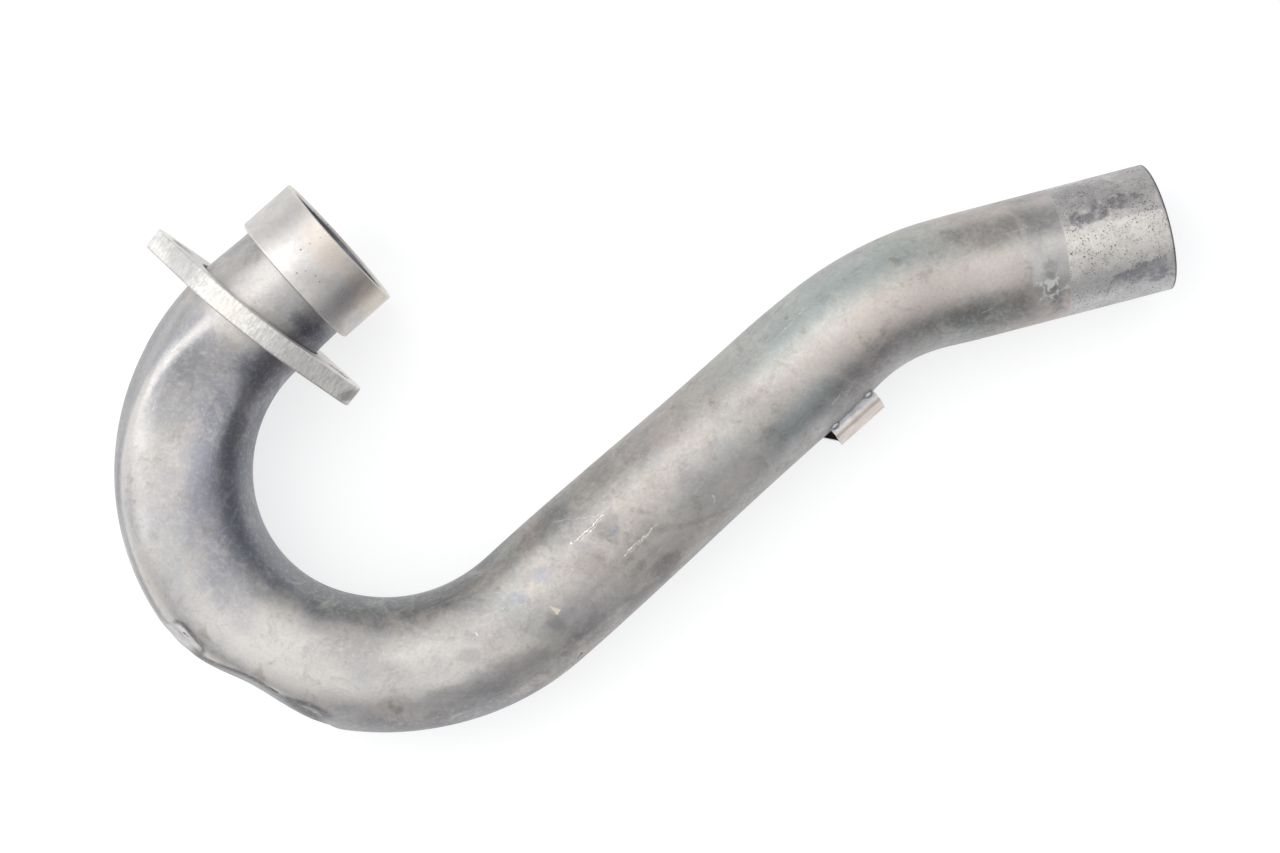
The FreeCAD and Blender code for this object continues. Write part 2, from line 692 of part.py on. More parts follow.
def resting_feet(points, centre):
    """From three far feet, each lowest point takes the place of one of them."""
    feet = [Vector(1e4 * math.cos(angle), 1e4 * math.sin(angle), 1e4) + centre
            for angle in (0.5, 2.6, 4.7)]
    for _ in range(500):
        normal = plane_under(feet)
        lowest = min(points, key=lambda point: point.dot(normal))
        if lowest.dot(normal) > feet[0].dot(normal) - 1e-6:
            return feet
        for index in range(3):
            moved = feet[:index] + [lowest] + feet[index + 1:]
            if encloses(moved, centre):
                feet = moved
                break
    raise RuntimeError("no resting plane")


doc.recompute()
heavy = [piece.Shape.Solids[0] for piece in (head_pipe, collar, flange)]
weight = sum(solid.Volume for solid in heavy)
centre = Vector(0, 0, 0)
for solid in heavy:
    centre = centre + solid.CenterOfMass * (solid.Volume / weight)
surface = []
for solid in heavy:
    surface.extend(solid.tessellate(0.1)[0])
rest = FreeCAD.Placement(
    Vector(0, 0, 0), FreeCAD.Rotation(plane_under(resting_feet(surface, centre)), Z))


# The finished pieces, laid down on their resting plane
shield_bracket = cut("heat_shield_bracket", bracket, seat)
tacks_on_tube = cut("tacks_on_tube", domes, seat)
tacks = cut("bracket_tacks", tacks_on_tube, bracket)
NODES = {
    "head_pipe": head_pipe,
    "port_collar": collar,
    "collar_weld": weld,
    "stud_flange": flange,
    "heat_shield_bracket": shield_bracket,
    "bracket_tacks": tacks,
}
for name, piece in NODES.items():
    piece.Placement = rest.multiply(piece.Placement)
    piece.Label = name
doc.recompute()

for item in doc.Objects:
    if "Invalid" in item.State or "Error" in item.State:
        raise RuntimeError(f"{item.Name} did not build: {item.State}")
for name, piece in NODES.items():
    shape = piece.Shape
    if shape.isNull() or not shape.isValid() or not shape.Solids:
        raise RuntimeError(f"{name} has no valid solid")
    shape.exportStep(f"parts/{name}.step")
    box = shape.optimalBoundingBox(False, False) if name != "head_pipe" else shape.BoundBox
    print(name, len(shape.Solids), round(shape.Volume, 1), [round(v, 2) for v in (
        box.XMin, box.XMax, box.YMin, box.YMax, box.ZMin, box.ZMax)])
print("rest", rest)
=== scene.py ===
"""Looks of the motorcycle exhaust header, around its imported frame.

One drawn and bent tube, pressed and dented in its return bend, with a turned collar at the
port, a loose stud flange, a folded heat-shield bracket and a pitted slip joint at the outlet.
Metres throughout; sizes in millimetres are multiplied by MM.
"""

import json
import math

import bpy
from mathutils import Matrix, Vector


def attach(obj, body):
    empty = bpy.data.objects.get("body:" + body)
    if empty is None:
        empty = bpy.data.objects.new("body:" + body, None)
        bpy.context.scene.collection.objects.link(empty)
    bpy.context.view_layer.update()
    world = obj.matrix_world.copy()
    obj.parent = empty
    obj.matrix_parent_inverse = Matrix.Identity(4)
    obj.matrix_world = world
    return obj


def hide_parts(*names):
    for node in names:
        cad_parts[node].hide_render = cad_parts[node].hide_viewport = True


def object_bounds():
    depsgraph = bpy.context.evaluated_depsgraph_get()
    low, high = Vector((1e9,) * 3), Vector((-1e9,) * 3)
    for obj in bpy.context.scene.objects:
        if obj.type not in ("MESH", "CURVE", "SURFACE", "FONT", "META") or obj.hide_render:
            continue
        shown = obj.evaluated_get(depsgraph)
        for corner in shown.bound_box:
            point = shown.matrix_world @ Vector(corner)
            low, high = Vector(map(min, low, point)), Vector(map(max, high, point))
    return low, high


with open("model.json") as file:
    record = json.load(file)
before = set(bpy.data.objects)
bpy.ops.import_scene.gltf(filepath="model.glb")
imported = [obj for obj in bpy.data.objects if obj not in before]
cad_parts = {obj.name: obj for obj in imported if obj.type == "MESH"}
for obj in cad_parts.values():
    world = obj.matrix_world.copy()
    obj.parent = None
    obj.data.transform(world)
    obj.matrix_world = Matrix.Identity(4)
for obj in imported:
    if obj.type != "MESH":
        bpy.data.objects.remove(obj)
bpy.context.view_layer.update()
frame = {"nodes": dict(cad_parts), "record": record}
MM = 0.001

# Route of the tube: length or radius, and turn in degrees, from the port to the outlet
RUN_LENGTH, OUTLET_LENGTH = 129.6, 73.0
ROUTE = [
    (37.5, 0.0),
    (66.1, 59.0),
    (60.7, 60.7),
    (71.9, 60.6),
    (RUN_LENGTH, 0.0),
    (81.4, -27.3),
    (OUTLET_LENGTH, 0.0),
]
NECK_HEADING = 221.6
TUBE, NECK, STUB, WALL = 44.45, 42.3, 41.5, 1.2
NECK_SWELLED = 43.4
FIRST_STATION = 5.0

# Turned collar: rounds at its shoulder and its lip, and the chamfer of its mouth
COLLAR_RADIUS, COLLAR_LENGTH, COLLAR_CLEARANCE = 24.05, 19.5, 0.05
SHOULDER_ROUND, LIP_ROUND, MOUTH_CHAMFER = 0.8, 0.3, 1.0

# Oval flange: its outline is two tips tangent to a middle
PLATE_MIDDLE, PLATE_TIP, STUD_REACH, STUD_HOLE = 30.0, 9.4, 31.5, 4.25
PLATE_THICK, PLATE_ROUND = 7.0, 0.5
FLANGE_TILT, FLANGE_CLEARANCE = math.radians(9.6), 0.3

MARKS = [0.0]
for length, turn in ROUTE:
    MARKS.append(MARKS[-1] + (length * math.radians(abs(turn)) if turn else length))
MOUTH, ENTRY_BEND, MIDDLE_BEND, EXIT_BEND, RUN, TAIL_BEND, OUTLET, END = MARKS


def mount(name):
    return next(m for m in frame["record"]["mounts"] if m["name"] == name)


# The plane of the bends as the header lies: from the two end axes in the record
port_axis = Vector(mount("port_spigot")["axis"]).normalized()
outlet_axis = Vector(mount("outlet_slip")["axis"]).normalized()
PLANE_UP = outlet_axis.cross(port_axis).normalized()
back = math.radians(NECK_HEADING - 180.0)
PLANE_X = Matrix.Rotation(-back, 3, PLANE_UP) @ port_axis
PLANE_Y = PLANE_UP.cross(PLANE_X)
LIE = Matrix((PLANE_X, PLANE_Y, PLANE_UP)).transposed()

flange_centre = Vector(mount("flange_studs")["pos_m"])
flange_axis = Vector(mount("flange_studs")["axis"]).normalized()
seat_centre = Vector(mount("shield_seat")["pos_m"])
seat_axis = Vector(mount("shield_seat")["axis"])


def on_route(place):
    """Point of the middle line in the plane of the bends, in millimetres."""
    x = y = 0.0
    heading = math.radians(NECK_HEADING)
    left = place
    for index, (length, turn) in enumerate(ROUTE):
        whole = MARKS[index + 1] - MARKS[index]
        run = left if index == len(ROUTE) - 1 else min(left, whole)
        if turn:
            radius = math.copysign(length, turn)
            after = heading + run / radius
            x += (math.sin(after) - math.sin(heading)) * radius
            y += (math.cos(heading) - math.cos(after)) * radius
            heading = after
        else:
            x += math.cos(heading) * run
            y += math.sin(heading) * run
        left -= run
        if left <= 0:
            break
    return x, y


def lying(x, y):
    """A point of the plane of the bends, millimetres, where it lies in the frame, metres."""
    return LIE @ (Vector((x, y, 0.0)) * MM)


# Writing node trees as sums
class Signal:
    """A socket that is written in sums: each operator adds its Math node."""

    def __init__(self, works, socket):
        self.works = works
        self.socket = socket

    def __add__(self, other):
        return self.works.maths("ADD", self, other)

    def __radd__(self, other):
        return self.works.maths("ADD", other, self)

    def __sub__(self, other):
        return self.works.maths("SUBTRACT", self, other)

    def __rsub__(self, other):
        return self.works.maths("SUBTRACT", other, self)

    def __mul__(self, other):
        return self.works.maths("MULTIPLY", self, other)

    def __rmul__(self, other):
        return self.works.maths("MULTIPLY", other, self)

    def __truediv__(self, other):
        return self.works.maths("DIVIDE", self, other)

    def __rtruediv__(self, other):
        return self.works.maths("DIVIDE", other, self)

    def __pow__(self, other):
        return self.works.maths("POWER", self, other)

    def __abs__(self):
        return self.works.maths("ABSOLUTE", self)


class Works:
    """A node tree under construction."""

    def __init__(self, tree):
        self.tree = tree

    def node(self, kind, settings=None, inputs=None, out=0):
        """Adds a node: its settings first, then the value or link of each socket."""
        node = self.tree.nodes.new(kind)
        for name, value in (settings or {}).items():
            setattr(node, name, value)
        for name, value in (inputs or {}).items():
            if isinstance(value, Signal):
                self.tree.links.new(value.socket, node.inputs[name])
            else:
                node.inputs[name].default_value = value
        return Signal(self, node.outputs[out]) if len(node.outputs) else node

    def also(self, signal, out):
        """Another output of the node that a signal comes from."""
        return Signal(self, signal.socket.node.outputs[out])

    def maths(self, operation, *values):
        return self.node("ShaderNodeMath", {"operation": operation}, dict(enumerate(values)))

    def most(self, one, other):
        return self.maths("MAXIMUM", one, other)

    def least(self, one, other):
        return self.maths("MINIMUM", one, other)

    def vectors(self, operation, *values, out=0):
        return self.node("ShaderNodeVectorMath", {"operation": operation},
                         dict(enumerate(values)), out)

    def scaled(self, vector, factor):
        return self.node("ShaderNodeVectorMath", {"operation": "SCALE"},
                         {0: vector, "Scale": factor})

    def vector(self, x, y, z):
        return self.node("ShaderNodeCombineXYZ", {}, {0: x, 1: y, 2: z})

    def split(self, vector):
        x = self.node("ShaderNodeSeparateXYZ", {}, {0: vector})
        return x, self.also(x, 1), self.also(x, 2)

    def reach(self, point, axis, origin=None):
        """How far a point lies along an axis, from an origin if one is given."""
        if origin is not None:
            point = self.vectors("SUBTRACT", point, tuple(origin))
        return self.vectors("DOT_PRODUCT", point, tuple(axis), out="Value")

    def ease(self, value, low, high):
        """0 at low and 1 at high, eased between; high may be the lower of the two."""
        return self.node("ShaderNodeMapRange", {"interpolation_type": "SMOOTHSTEP"}, {
            "Value": value, "From Min": low, "From Max": high, "To Min": 0.0, "To Max": 1.0})

    def ramp(self, value, low, high, to_low=0.0, to_high=1.0):
        """Straight from one value to another between low and high."""
        return self.node("ShaderNodeMapRange", {"clamp": True}, {
            "Value": value, "From Min": low, "From Max": high,
            "To Min": to_low, "To Max": to_high})

    def noise(self, vector, scale, detail=3.0, rough=0.55, warp=0.0):
        return self.node("ShaderNodeTexNoise", {}, {
            "Vector": vector, "Scale": scale, "Detail": detail, "Roughness": rough,
            "Distortion": warp})

    def cells(self, vector, scale):
        """How far a point is from the middle of its cell."""
        return self.node("ShaderNodeTexVoronoi", {}, {"Vector": vector, "Scale": scale})

    def wander(self, vector, scale, reach):
        """A vector pushed about by noise, as far as its reach."""
        push = self.also(self.noise(vector, scale, 3.0, 0.6), 1)
        push = self.vectors("SUBTRACT", push, (0.5, 0.5, 0.5))
        return self.vectors("ADD", vector, self.scaled(push, reach))

    def blend(self, factor, low, high):
        """Mixes two colours."""
        return self.node("ShaderNodeMix", {"data_type": "RGBA"}, {0: factor, 6: low, 7: high}, 2)


def emptied(owner):
    """The works of a material or a world, whose node tree starts empty."""
    owner.use_nodes = True
    owner.node_tree.nodes.clear()
    return Works(owner.node_tree)


# Objects and meshes
def placed(name, data):
    shown = bpy.data.objects.new(name, data)
    bpy.context.scene.collection.objects.link(shown)
    return shown


def plain_mesh(shown):
    """The evaluated mesh of an object, which is then removed."""
    depsgraph = bpy.context.evaluated_depsgraph_get()
    mesh = bpy.data.meshes.new_from_object(shown.evaluated_get(depsgraph))
    bpy.data.objects.remove(shown)
    return mesh


def wear(mesh, material):
    """Gives a mesh one material, in place of any that it has."""
    mesh.materials.clear()
    mesh.materials.append(material)


def piece(name, mesh, material, smooth_angle, body="header"):
    shown = placed(name, mesh)
    wear(mesh, material)
    for polygon in mesh.polygons:
        polygon.use_smooth = True
    mesh.set_sharp_from_angle(angle=math.radians(smooth_angle))
    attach(shown, body)
    return shown


# Camera: straight down, as far above the header as the photograph's perspective says
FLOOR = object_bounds()[0][2]
EYE = Vector((0.09613, -0.05944, FLOOR + 0.831))
LENS, SENSOR, WIDE, HIGH = 70.3, 36.0, 1280, 853
camera_data = bpy.data.cameras.new("copy_stand")
camera_data.lens = LENS
camera_data.sensor_width = SENSOR
camera_data.clip_start = 0.01
camera = placed("copy_stand", camera_data)
camera.location = EYE
bpy.context.scene.camera = camera
bpy.context.scene.view_settings.view_transform = "Standard"

# Marks are placed by the 1280 x 853 frame, at the height where most of the metal shows
METAL_HEIGHT = 0.013
PIXEL = (EYE.z - METAL_HEIGHT) * SENSOR / LENS / WIDE


def seen_at(px, py):
    """Where a point of the photograph's frame lies on the metal."""
    return EYE.x + (px - WIDE / 2) * PIXEL, EYE.y - (py - HIGH / 2) * PIXEL


def line_at(start, end):
    """A line between two points of the photograph's frame: start, direction and length."""
    (ax, ay), (bx, by) = seen_at(*start), seen_at(*end)
    length = math.hypot(bx - ax, by - ay)
    return ax, ay, (bx - ax) / length, (by - ay) / length, length


# Section of the tube along its route, as (place, width, height, squareness)
def drawn_height(width, diameter):
    """Height of a section that keeps about the girth of a round one."""
    return math.sqrt(2.0 * diameter ** 2 - width ** 2)


TAIL = 0.5 * (TUBE + STUB)
STATIONS = [
    (MOUTH, NECK, NECK, 2.0),
    (COLLAR_LENGTH, NECK, NECK, 2.0),
    (ENTRY_BEND - 0.6, NECK_SWELLED, NECK_SWELLED, 2.0),
    (0.3 * ENTRY_BEND + 0.7 * MIDDLE_BEND, 43.6, 41.4, 2.3),
    (0.6 * MIDDLE_BEND + 0.4 * EXIT_BEND, 43.6, 41.4, 2.3),
    (0.7 * EXIT_BEND + 0.3 * RUN, 43.5, drawn_height(43.5, TUBE), 2.0),
    (RUN + 0.10 * RUN_LENGTH, 45.3, drawn_height(45.3, TUBE), 2.0),
    (RUN + 0.70 * RUN_LENGTH, 42.8, drawn_height(42.8, TUBE), 2.0),
    (TAIL_BEND - 0.15 * RUN_LENGTH, 42.8, drawn_height(42.8, TUBE), 2.0),
    (0.5 * TAIL_BEND + 0.5 * OUTLET, 40.1, drawn_height(40.1, TAIL), 2.0),
    (OUTLET + 0.15 * OUTLET_LENGTH, STUB, STUB, 2.0),
    (END, STUB, STUB, 2.0),
]

# The tube, drawn along its route by Geometry Nodes
OUTER_ROWS, RIM_ROWS, INNER_ROWS, AROUND = 396, 8, 90, 176
RIM_ROUND = 0.25
MERGE_WITHIN = 2e-5
# Where each press starts, is deepest and ends; the small flats by middle, end and level half
CROWN_PRESS, LONG_DENT = (42.0, 66.0, 102.0), (136.5, 158.0, 183.0)
SMALL_FLATS = ((138.0, 7.5, 3.0), (167.0, 17.0, 6.0))
# How far above its middle a press's painted fold shade starts: a dent's steep wall is painted dark
DENT_FOLD_SHADE, FLAT_FOLD_SHADE = -9.0, 0.0


def section_at(works, place, depth):
    """Half width, half height and squareness of the tube at a place, a depth below its skin."""
    width, height, square = STATIONS[0][1:]
    for before, after in zip(STATIONS, STATIONS[1:]):
        share = works.ease(place, before[0], after[0])
        width, height, square = (
            value if a == b else share * (b - a) + value
            for value, a, b in zip((width, height, square), before[1:], after[1:]))
    return width * 0.5 - depth, height * 0.5 - depth, square


def pressed_in(works, across, up, section, presses):
    """The section's outline with soft planes pressed into it, each given by its lean, depth,
    softness and where the painted shade on its fold starts; also the mask of that painted fold
    shade, and how far the last one goes in."""
    half_width, half_height, square = section
    power = square / (square - 1.0)
    fold = 0.0
    for lean, depth, soft, fold_shade_from in presses:
        c, s = math.cos(math.radians(lean)), math.sin(math.radians(lean))
        reach = ((half_width * c) ** power + (half_height * s) ** power) ** (1.0 / power)
        over = (across * c + up * s - reach + depth) / soft
        if fold_shade_from is not None:
            above = works.ease(up * c - across * s, fold_shade_from, fold_shade_from + 3.0)
            edge = (works.ease(over * soft, -1.0, -0.1)
                    * works.ease(over * soft, 1.1 - fold_shade_from, 0.3))
            fold = works.most(edge * above * works.ramp(depth, 0.3, 1.0), fold)
        swelled = 1.0 + works.maths("EXPONENT", works.least(over, 40.0))
        push = works.maths("LOGARITHM", swelled, math.e) * (soft * 0.97)
        push = push * works.ramp(depth, 0.0, 0.3)
        across = across - push * c
        up = up - push * s
    return across, up, fold, push


def drawn_tube_tree():
    """Skin of the tube from its route: a grid wrapped into a wall with two rims."""
    tree = bpy.data.node_groups.new("drawn_tube", "GeometryNodeTree")
    for name, kind, value in (
            ("Route", "Geometry", None), ("Plane up", "Vector", PLANE_UP),
            ("Wall", "Float", WALL), ("Crown flat", "Float", 2.8),
            ("Shoulder flat", "Float", 1.6), ("Long dent", "Float", 5.2),
            ("Small flats", "Float", 1.9), ("Waviness", "Float", 0.1),
            ("Metal", "Material", None)):
        socket = tree.interface.new_socket(
            name, in_out="INPUT", socket_type="NodeSocket" + kind)
        if value is not None:
            socket.default_value = value
    tree.interface.new_socket("Tube", in_out="OUTPUT", socket_type="NodeSocketGeometry")
    works = Works(tree)
    given = works.node("NodeGroupInput")

    def sized(name):
        return works.also(given, name)

    rows = OUTER_ROWS + INNER_ROWS + 2 * RIM_ROWS
    grid = works.node("GeometryNodeMeshGrid", {}, {
        "Size X": float(rows), "Size Y": 1.0, "Vertices X": rows + 1, "Vertices Y": AROUND + 1})
    x, y, _ = works.split(works.node("GeometryNodeInputPosition"))
    row = x + 0.5 * rows
    angle = (y + 0.5) * (2.0 * math.pi)
    cosine, sine = works.maths("COSINE", angle), works.maths("SINE", angle)

    # Down the outside, over the rim at the outlet, back inside, over the rim at the port
    first, last = FIRST_STATION + RIM_ROUND, END - RIM_ROUND
    out = works.ramp(row, 0.0, OUTER_ROWS)
    home = works.ramp(row, OUTER_ROWS + RIM_ROWS, rows - RIM_ROWS)
    far_rim = works.ramp(row, OUTER_ROWS, OUTER_ROWS + RIM_ROWS)
    near_rim = works.ramp(row, rows - RIM_ROWS, rows)
    place = (first + (last - first) * (out - home)
             + RIM_ROUND * works.maths("SINE", far_rim * math.pi)
             - RIM_ROUND * works.maths("SINE", near_rim * math.pi))
    across_wall = works.ease(far_rim, 0.0, 1.0) - works.ease(near_rim, 0.0, 1.0)

    section = section_at(works, place, sized("Wall") * across_wall)

    def superellipse(turn, half):
        return half * works.maths("SIGN", turn) * abs(turn) ** (2.0 / section[2])

    # The crown below the flange with its ridge, the long dent and the two small flats
    crown, dent = (works.ease(place, start, deepest) - works.ease(place, deepest, end)
                   for start, deepest, end in (CROWN_PRESS, LONG_DENT))
    flats = sum(works.ease(abs(place - middle), end, level)
                for middle, end, level in SMALL_FLATS)
    across, up, fold, flattened = pressed_in(
        works, superellipse(cosine, section[0]), superellipse(sine, section[1]), section,
        ((93.0, sized("Crown flat") * crown, 0.4, None),
         (26.0, sized("Shoulder flat") * crown, 0.3, None),
         (14.0, sized("Long dent") * dent, 1.1, DENT_FOLD_SHADE),
         (28.0, sized("Small flats") * flats, 0.35, FLAT_FOLD_SHADE)))

    # Bent and handled metal is never quite even
    where = works.vector(place * 0.02, cosine, sine)
    unevenness = (works.noise(where, 1.1, 2.0, 0.5) - 0.5) * 2.0
    unevenness = unevenness + (works.noise(where, 4.0, 2.0, 0.5) - 0.5) * 0.5
    swell = unevenness * sized("Waviness") * (1.0 - across_wall) / 22.0 + 1.0

    # Onto the route
    line = works.node("GeometryNodeSampleCurve", {"mode": "LENGTH"}, {
        "Curves": sized("Route"), "Length": place * MM}, "Position")
    outward = works.vectors("NORMALIZE", works.vectors(
        "CROSS_PRODUCT", works.also(line, "Tangent"), sized("Plane up")))
    spot = works.vectors("ADD", line, works.vectors(
        "ADD", works.scaled(outward, across * swell * MM),
        works.scaled(sized("Plane up"), up * swell * MM)))

    # Kept for the metal: the wrap as a UV map, the place along the tube, what is inside, how far
    # the small flats are pressed in, and the mask of painted shade on the upper fold of the dents
    shell = grid
    for name, kind, domain, value in (
            ("wrap", "FLOAT2", "CORNER", works.also(grid, "UV Map")),
            ("along", "FLOAT", "POINT", place * MM), ("inside", "FLOAT", "POINT", across_wall),
            ("dented", "FLOAT", "POINT", flattened), ("fold", "FLOAT", "POINT", fold)):
        shell = works.node("GeometryNodeStoreNamedAttribute",
                           {"data_type": kind, "domain": domain},
                           {"Geometry": shell, "Name": name, "Value": value})
    shell = works.node("GeometryNodeSetPosition", {}, {"Geometry": shell, "Position": spot})
    shell = works.node("GeometryNodeMergeByDistance", {}, {
        "Geometry": shell, "Distance": MERGE_WITHIN})
    shell = works.node("GeometryNodeSetMaterial", {}, {
        "Geometry": shell, "Material": sized("Metal")})
    works.node("NodeGroupOutput", {}, {"Tube": shell})
    return tree


def built_by(tree, start, **values):
    """The plain mesh that a Geometry Nodes tree makes of an object."""
    modifier = start.modifiers.new("build", "NODES")
    modifier.node_group = tree
    for socket in tree.interface.items_tree:
        name = socket.name.lower().replace(" ", "_")
        if socket.in_out == "INPUT" and name in values:
            modifier[socket.identifier] = values[name]
    return plain_mesh(start)


def route_line():
    """The middle line of the tube as a curve object, a point each millimetre."""
    line = bpy.data.curves.new("route", "CURVE")
    line.dimensions = "3D"
    spline = line.splines.new("POLY")
    count = int(END + 8) + 1
    spline.points.add(count - 1)
    for index in range(count):
        spline.points[index].co = (*lying(*on_route(END * index / (count - 1))), 1.0)
    return placed("route", line)


# Metals
def rgb(hexed):
    """A linear colour from its six-figure screen value."""
    steps = [int(hexed[i:i + 2], 16) / 255.0 for i in (0, 2, 4)]
    return (*[s / 12.92 if s <= 0.04045 else ((s + 0.055) / 1.055) ** 2.4 for s in steps], 1.0)


class Metal:
    """A metal under construction: colours laid one over another, then a shader."""

    def __init__(self, name):
        self.material = bpy.data.materials.new(name)
        self.works = emptied(self.material)
        self.point = self.works.node("ShaderNodeTexCoord", {}, {}, "Object")
        self.place = self.works.split(self.point)
        self.colour = None
        self.ragged = None

    def mixed(self, share, low, high):
        return self.works.blend(share, rgb(low), rgb(high))

    def lay(self, share, colour):
        """Lays a colour over what is there: a screen value or a mix."""
        colour = rgb(colour) if isinstance(colour, str) else colour
        self.colour = self.works.blend(share, self.colour, colour)

    def patch(self, centre, across, along, turn=0.0, rag=1.0, soft=0.8):
        """1 inside a ragged oval of the photograph's frame, 0 outside; sizes in its pixels."""
        cx, cy = seen_at(*centre)
        c, s = math.cos(math.radians(turn)), math.sin(math.radians(turn))
        x, y, _ = self.place
        forward = ((x - cx) * c + (y - cy) * s) / (across * PIXEL / 2)
        aside = ((y - cy) * c - (x - cx) * s) / (along * PIXEL / 2)
        out = self.works.maths("SQRT", forward ** 2.0 + aside ** 2.0) + self.ragged * rag
        return self.works.ease(out, 1.0 + soft / 2, 1.0 - soft / 2)

    def patches(self, marks):
        """Ovals together: centre, across, along, turn, strength, and raggedness and softness."""
        return sum(self.patch(centre, across, along, turn, *edge) * strength
                   for centre, across, along, turn, strength, *edge in marks)

    def streaks_on(self, place, marks):
        """Straight marks together: start, end, width in millimetres and strength."""
        x, y, _ = place
        total = 0.0
        for start, end, width, strength in marks:
            ax, ay, ux, uy, length = line_at(start, end)
            forward = (x - ax) * ux + (y - ay) * uy
            aside = (x - ax) * uy - (y - ay) * ux
            ends = self.works.ease(abs(forward - length / 2), length * 0.5, length * 0.3)
            sides = self.works.ease(abs(aside), width * MM * 0.75, width * MM * 0.25)
            total = ends * sides * strength + total
        return total

    def left_of(self, start, end):
        """Millimetres to the left of a line between two points of the photograph's frame."""
        ax, ay, ux, uy, _ = line_at(start, end)
        x, y, _ = self.place
        return ((y - ay) * ux - (x - ax) * uy) / MM

    def flake(self, *corners):
        """1 inside a small triangle of the photograph's frame, its corners anticlockwise."""
        least = 1.0
        for start, end in zip(corners, corners[1:] + corners[:1]):
            least = self.works.least(self.works.ease(self.left_of(start, end), -0.08, 0.08), least)
        return least

    def finished(self, roughness, strength, distance, height, metallic=1.0):
        """The material, with a bump of a strength, a distance and a height."""
        bump = self.works.node("ShaderNodeBump", {}, {
            "Strength": strength, "Distance": distance, "Height": height})
        shader = self.works.node("ShaderNodeBsdfPrincipled", {}, {
            "Base Color": self.colour, "Roughness": roughness, "Metallic": metallic,
            "Normal": bump})
        self.works.node("ShaderNodeOutputMaterial", {}, {"Surface": shader})
        return self.material


# Marks on the tube by the photograph's frame; ovals as Metal.patches and lines as streaks_on
MOTTLES = (
    ((570, 628), 56, 30, 35, 0.6), ((646, 600), 66, 24, 48, 0.9), ((668, 566), 40, 22, 40, 0.9),
    ((608, 528), 34, 26, 20, 0.8), ((590, 560), 40, 24, 30, 0.5), ((520, 662), 90, 24, 20, 0.7),
    ((470, 655), 26, 16, 0, 0.6))
DARK_CORES = (
    ((556, 622), 24, 12, -40, 1.0), ((577, 638), 14, 9, -40, 1.0), ((566, 656), 12, 7, 0, 1.0))
BLUED_SPOTS = (
    ((614, 531), 14, 6, 40, 1.0), ((543, 573), 24, 12, 20, 0.7), ((518, 598), 20, 12, 20, 0.7))
GREY_ON_SLIP_JOINT = (
    ((1118, 205), 66, 20, 15, 1.0, 1.3, 0.6), ((1092, 216), 50, 14, 15, 1.0, 1.3, 0.6),
    ((1160, 267), 66, 20, 16, 1.0, 1.6, 0.4), ((1085, 184), 70, 14, 15, 0.4))
SOOT_LINE = ((1052, 229), (1162, 209))
SCRATCHES = (
    ((574, 542), (607, 512), 0.36, 1.0), ((580, 542), (603, 518), 0.20, 0.8),
    ((551, 523), (606, 514), 0.16, 0.6), ((570, 541), (573, 546), 0.50, 1.0),
    ((619, 560), (648, 532), 0.32, 1.0), ((627, 556), (652, 528), 0.20, 0.8),
    ((638, 546), (658, 522), 0.24, 0.8), ((832, 406), (841, 393), 0.20, 0.7),
    ((841, 393), (852, 389), 0.18, 0.6), ((713, 494), (716, 502), 0.35, 1.0),
    ((476, 632), (478, 638), 0.30, 1.0), ((752, 260), (768, 248), 0.18, 0.6),
    ((983, 314), (996, 307), 0.25, 0.5), ((770, 345), (812, 300), 0.22, 0.5),
    ((172, 355), (190, 337), 0.20, 0.4))
NICKS = (
    ((575, 663), (583, 656), 0.7, 1.0), ((181, 633), (186, 639), 0.6, 1.0),
    ((268, 688), (278, 694), 0.7, 1.0))
CHIP = ((549, 605.5), (557, 615), (561, 609.5))
SLIP_LINE = 453.1


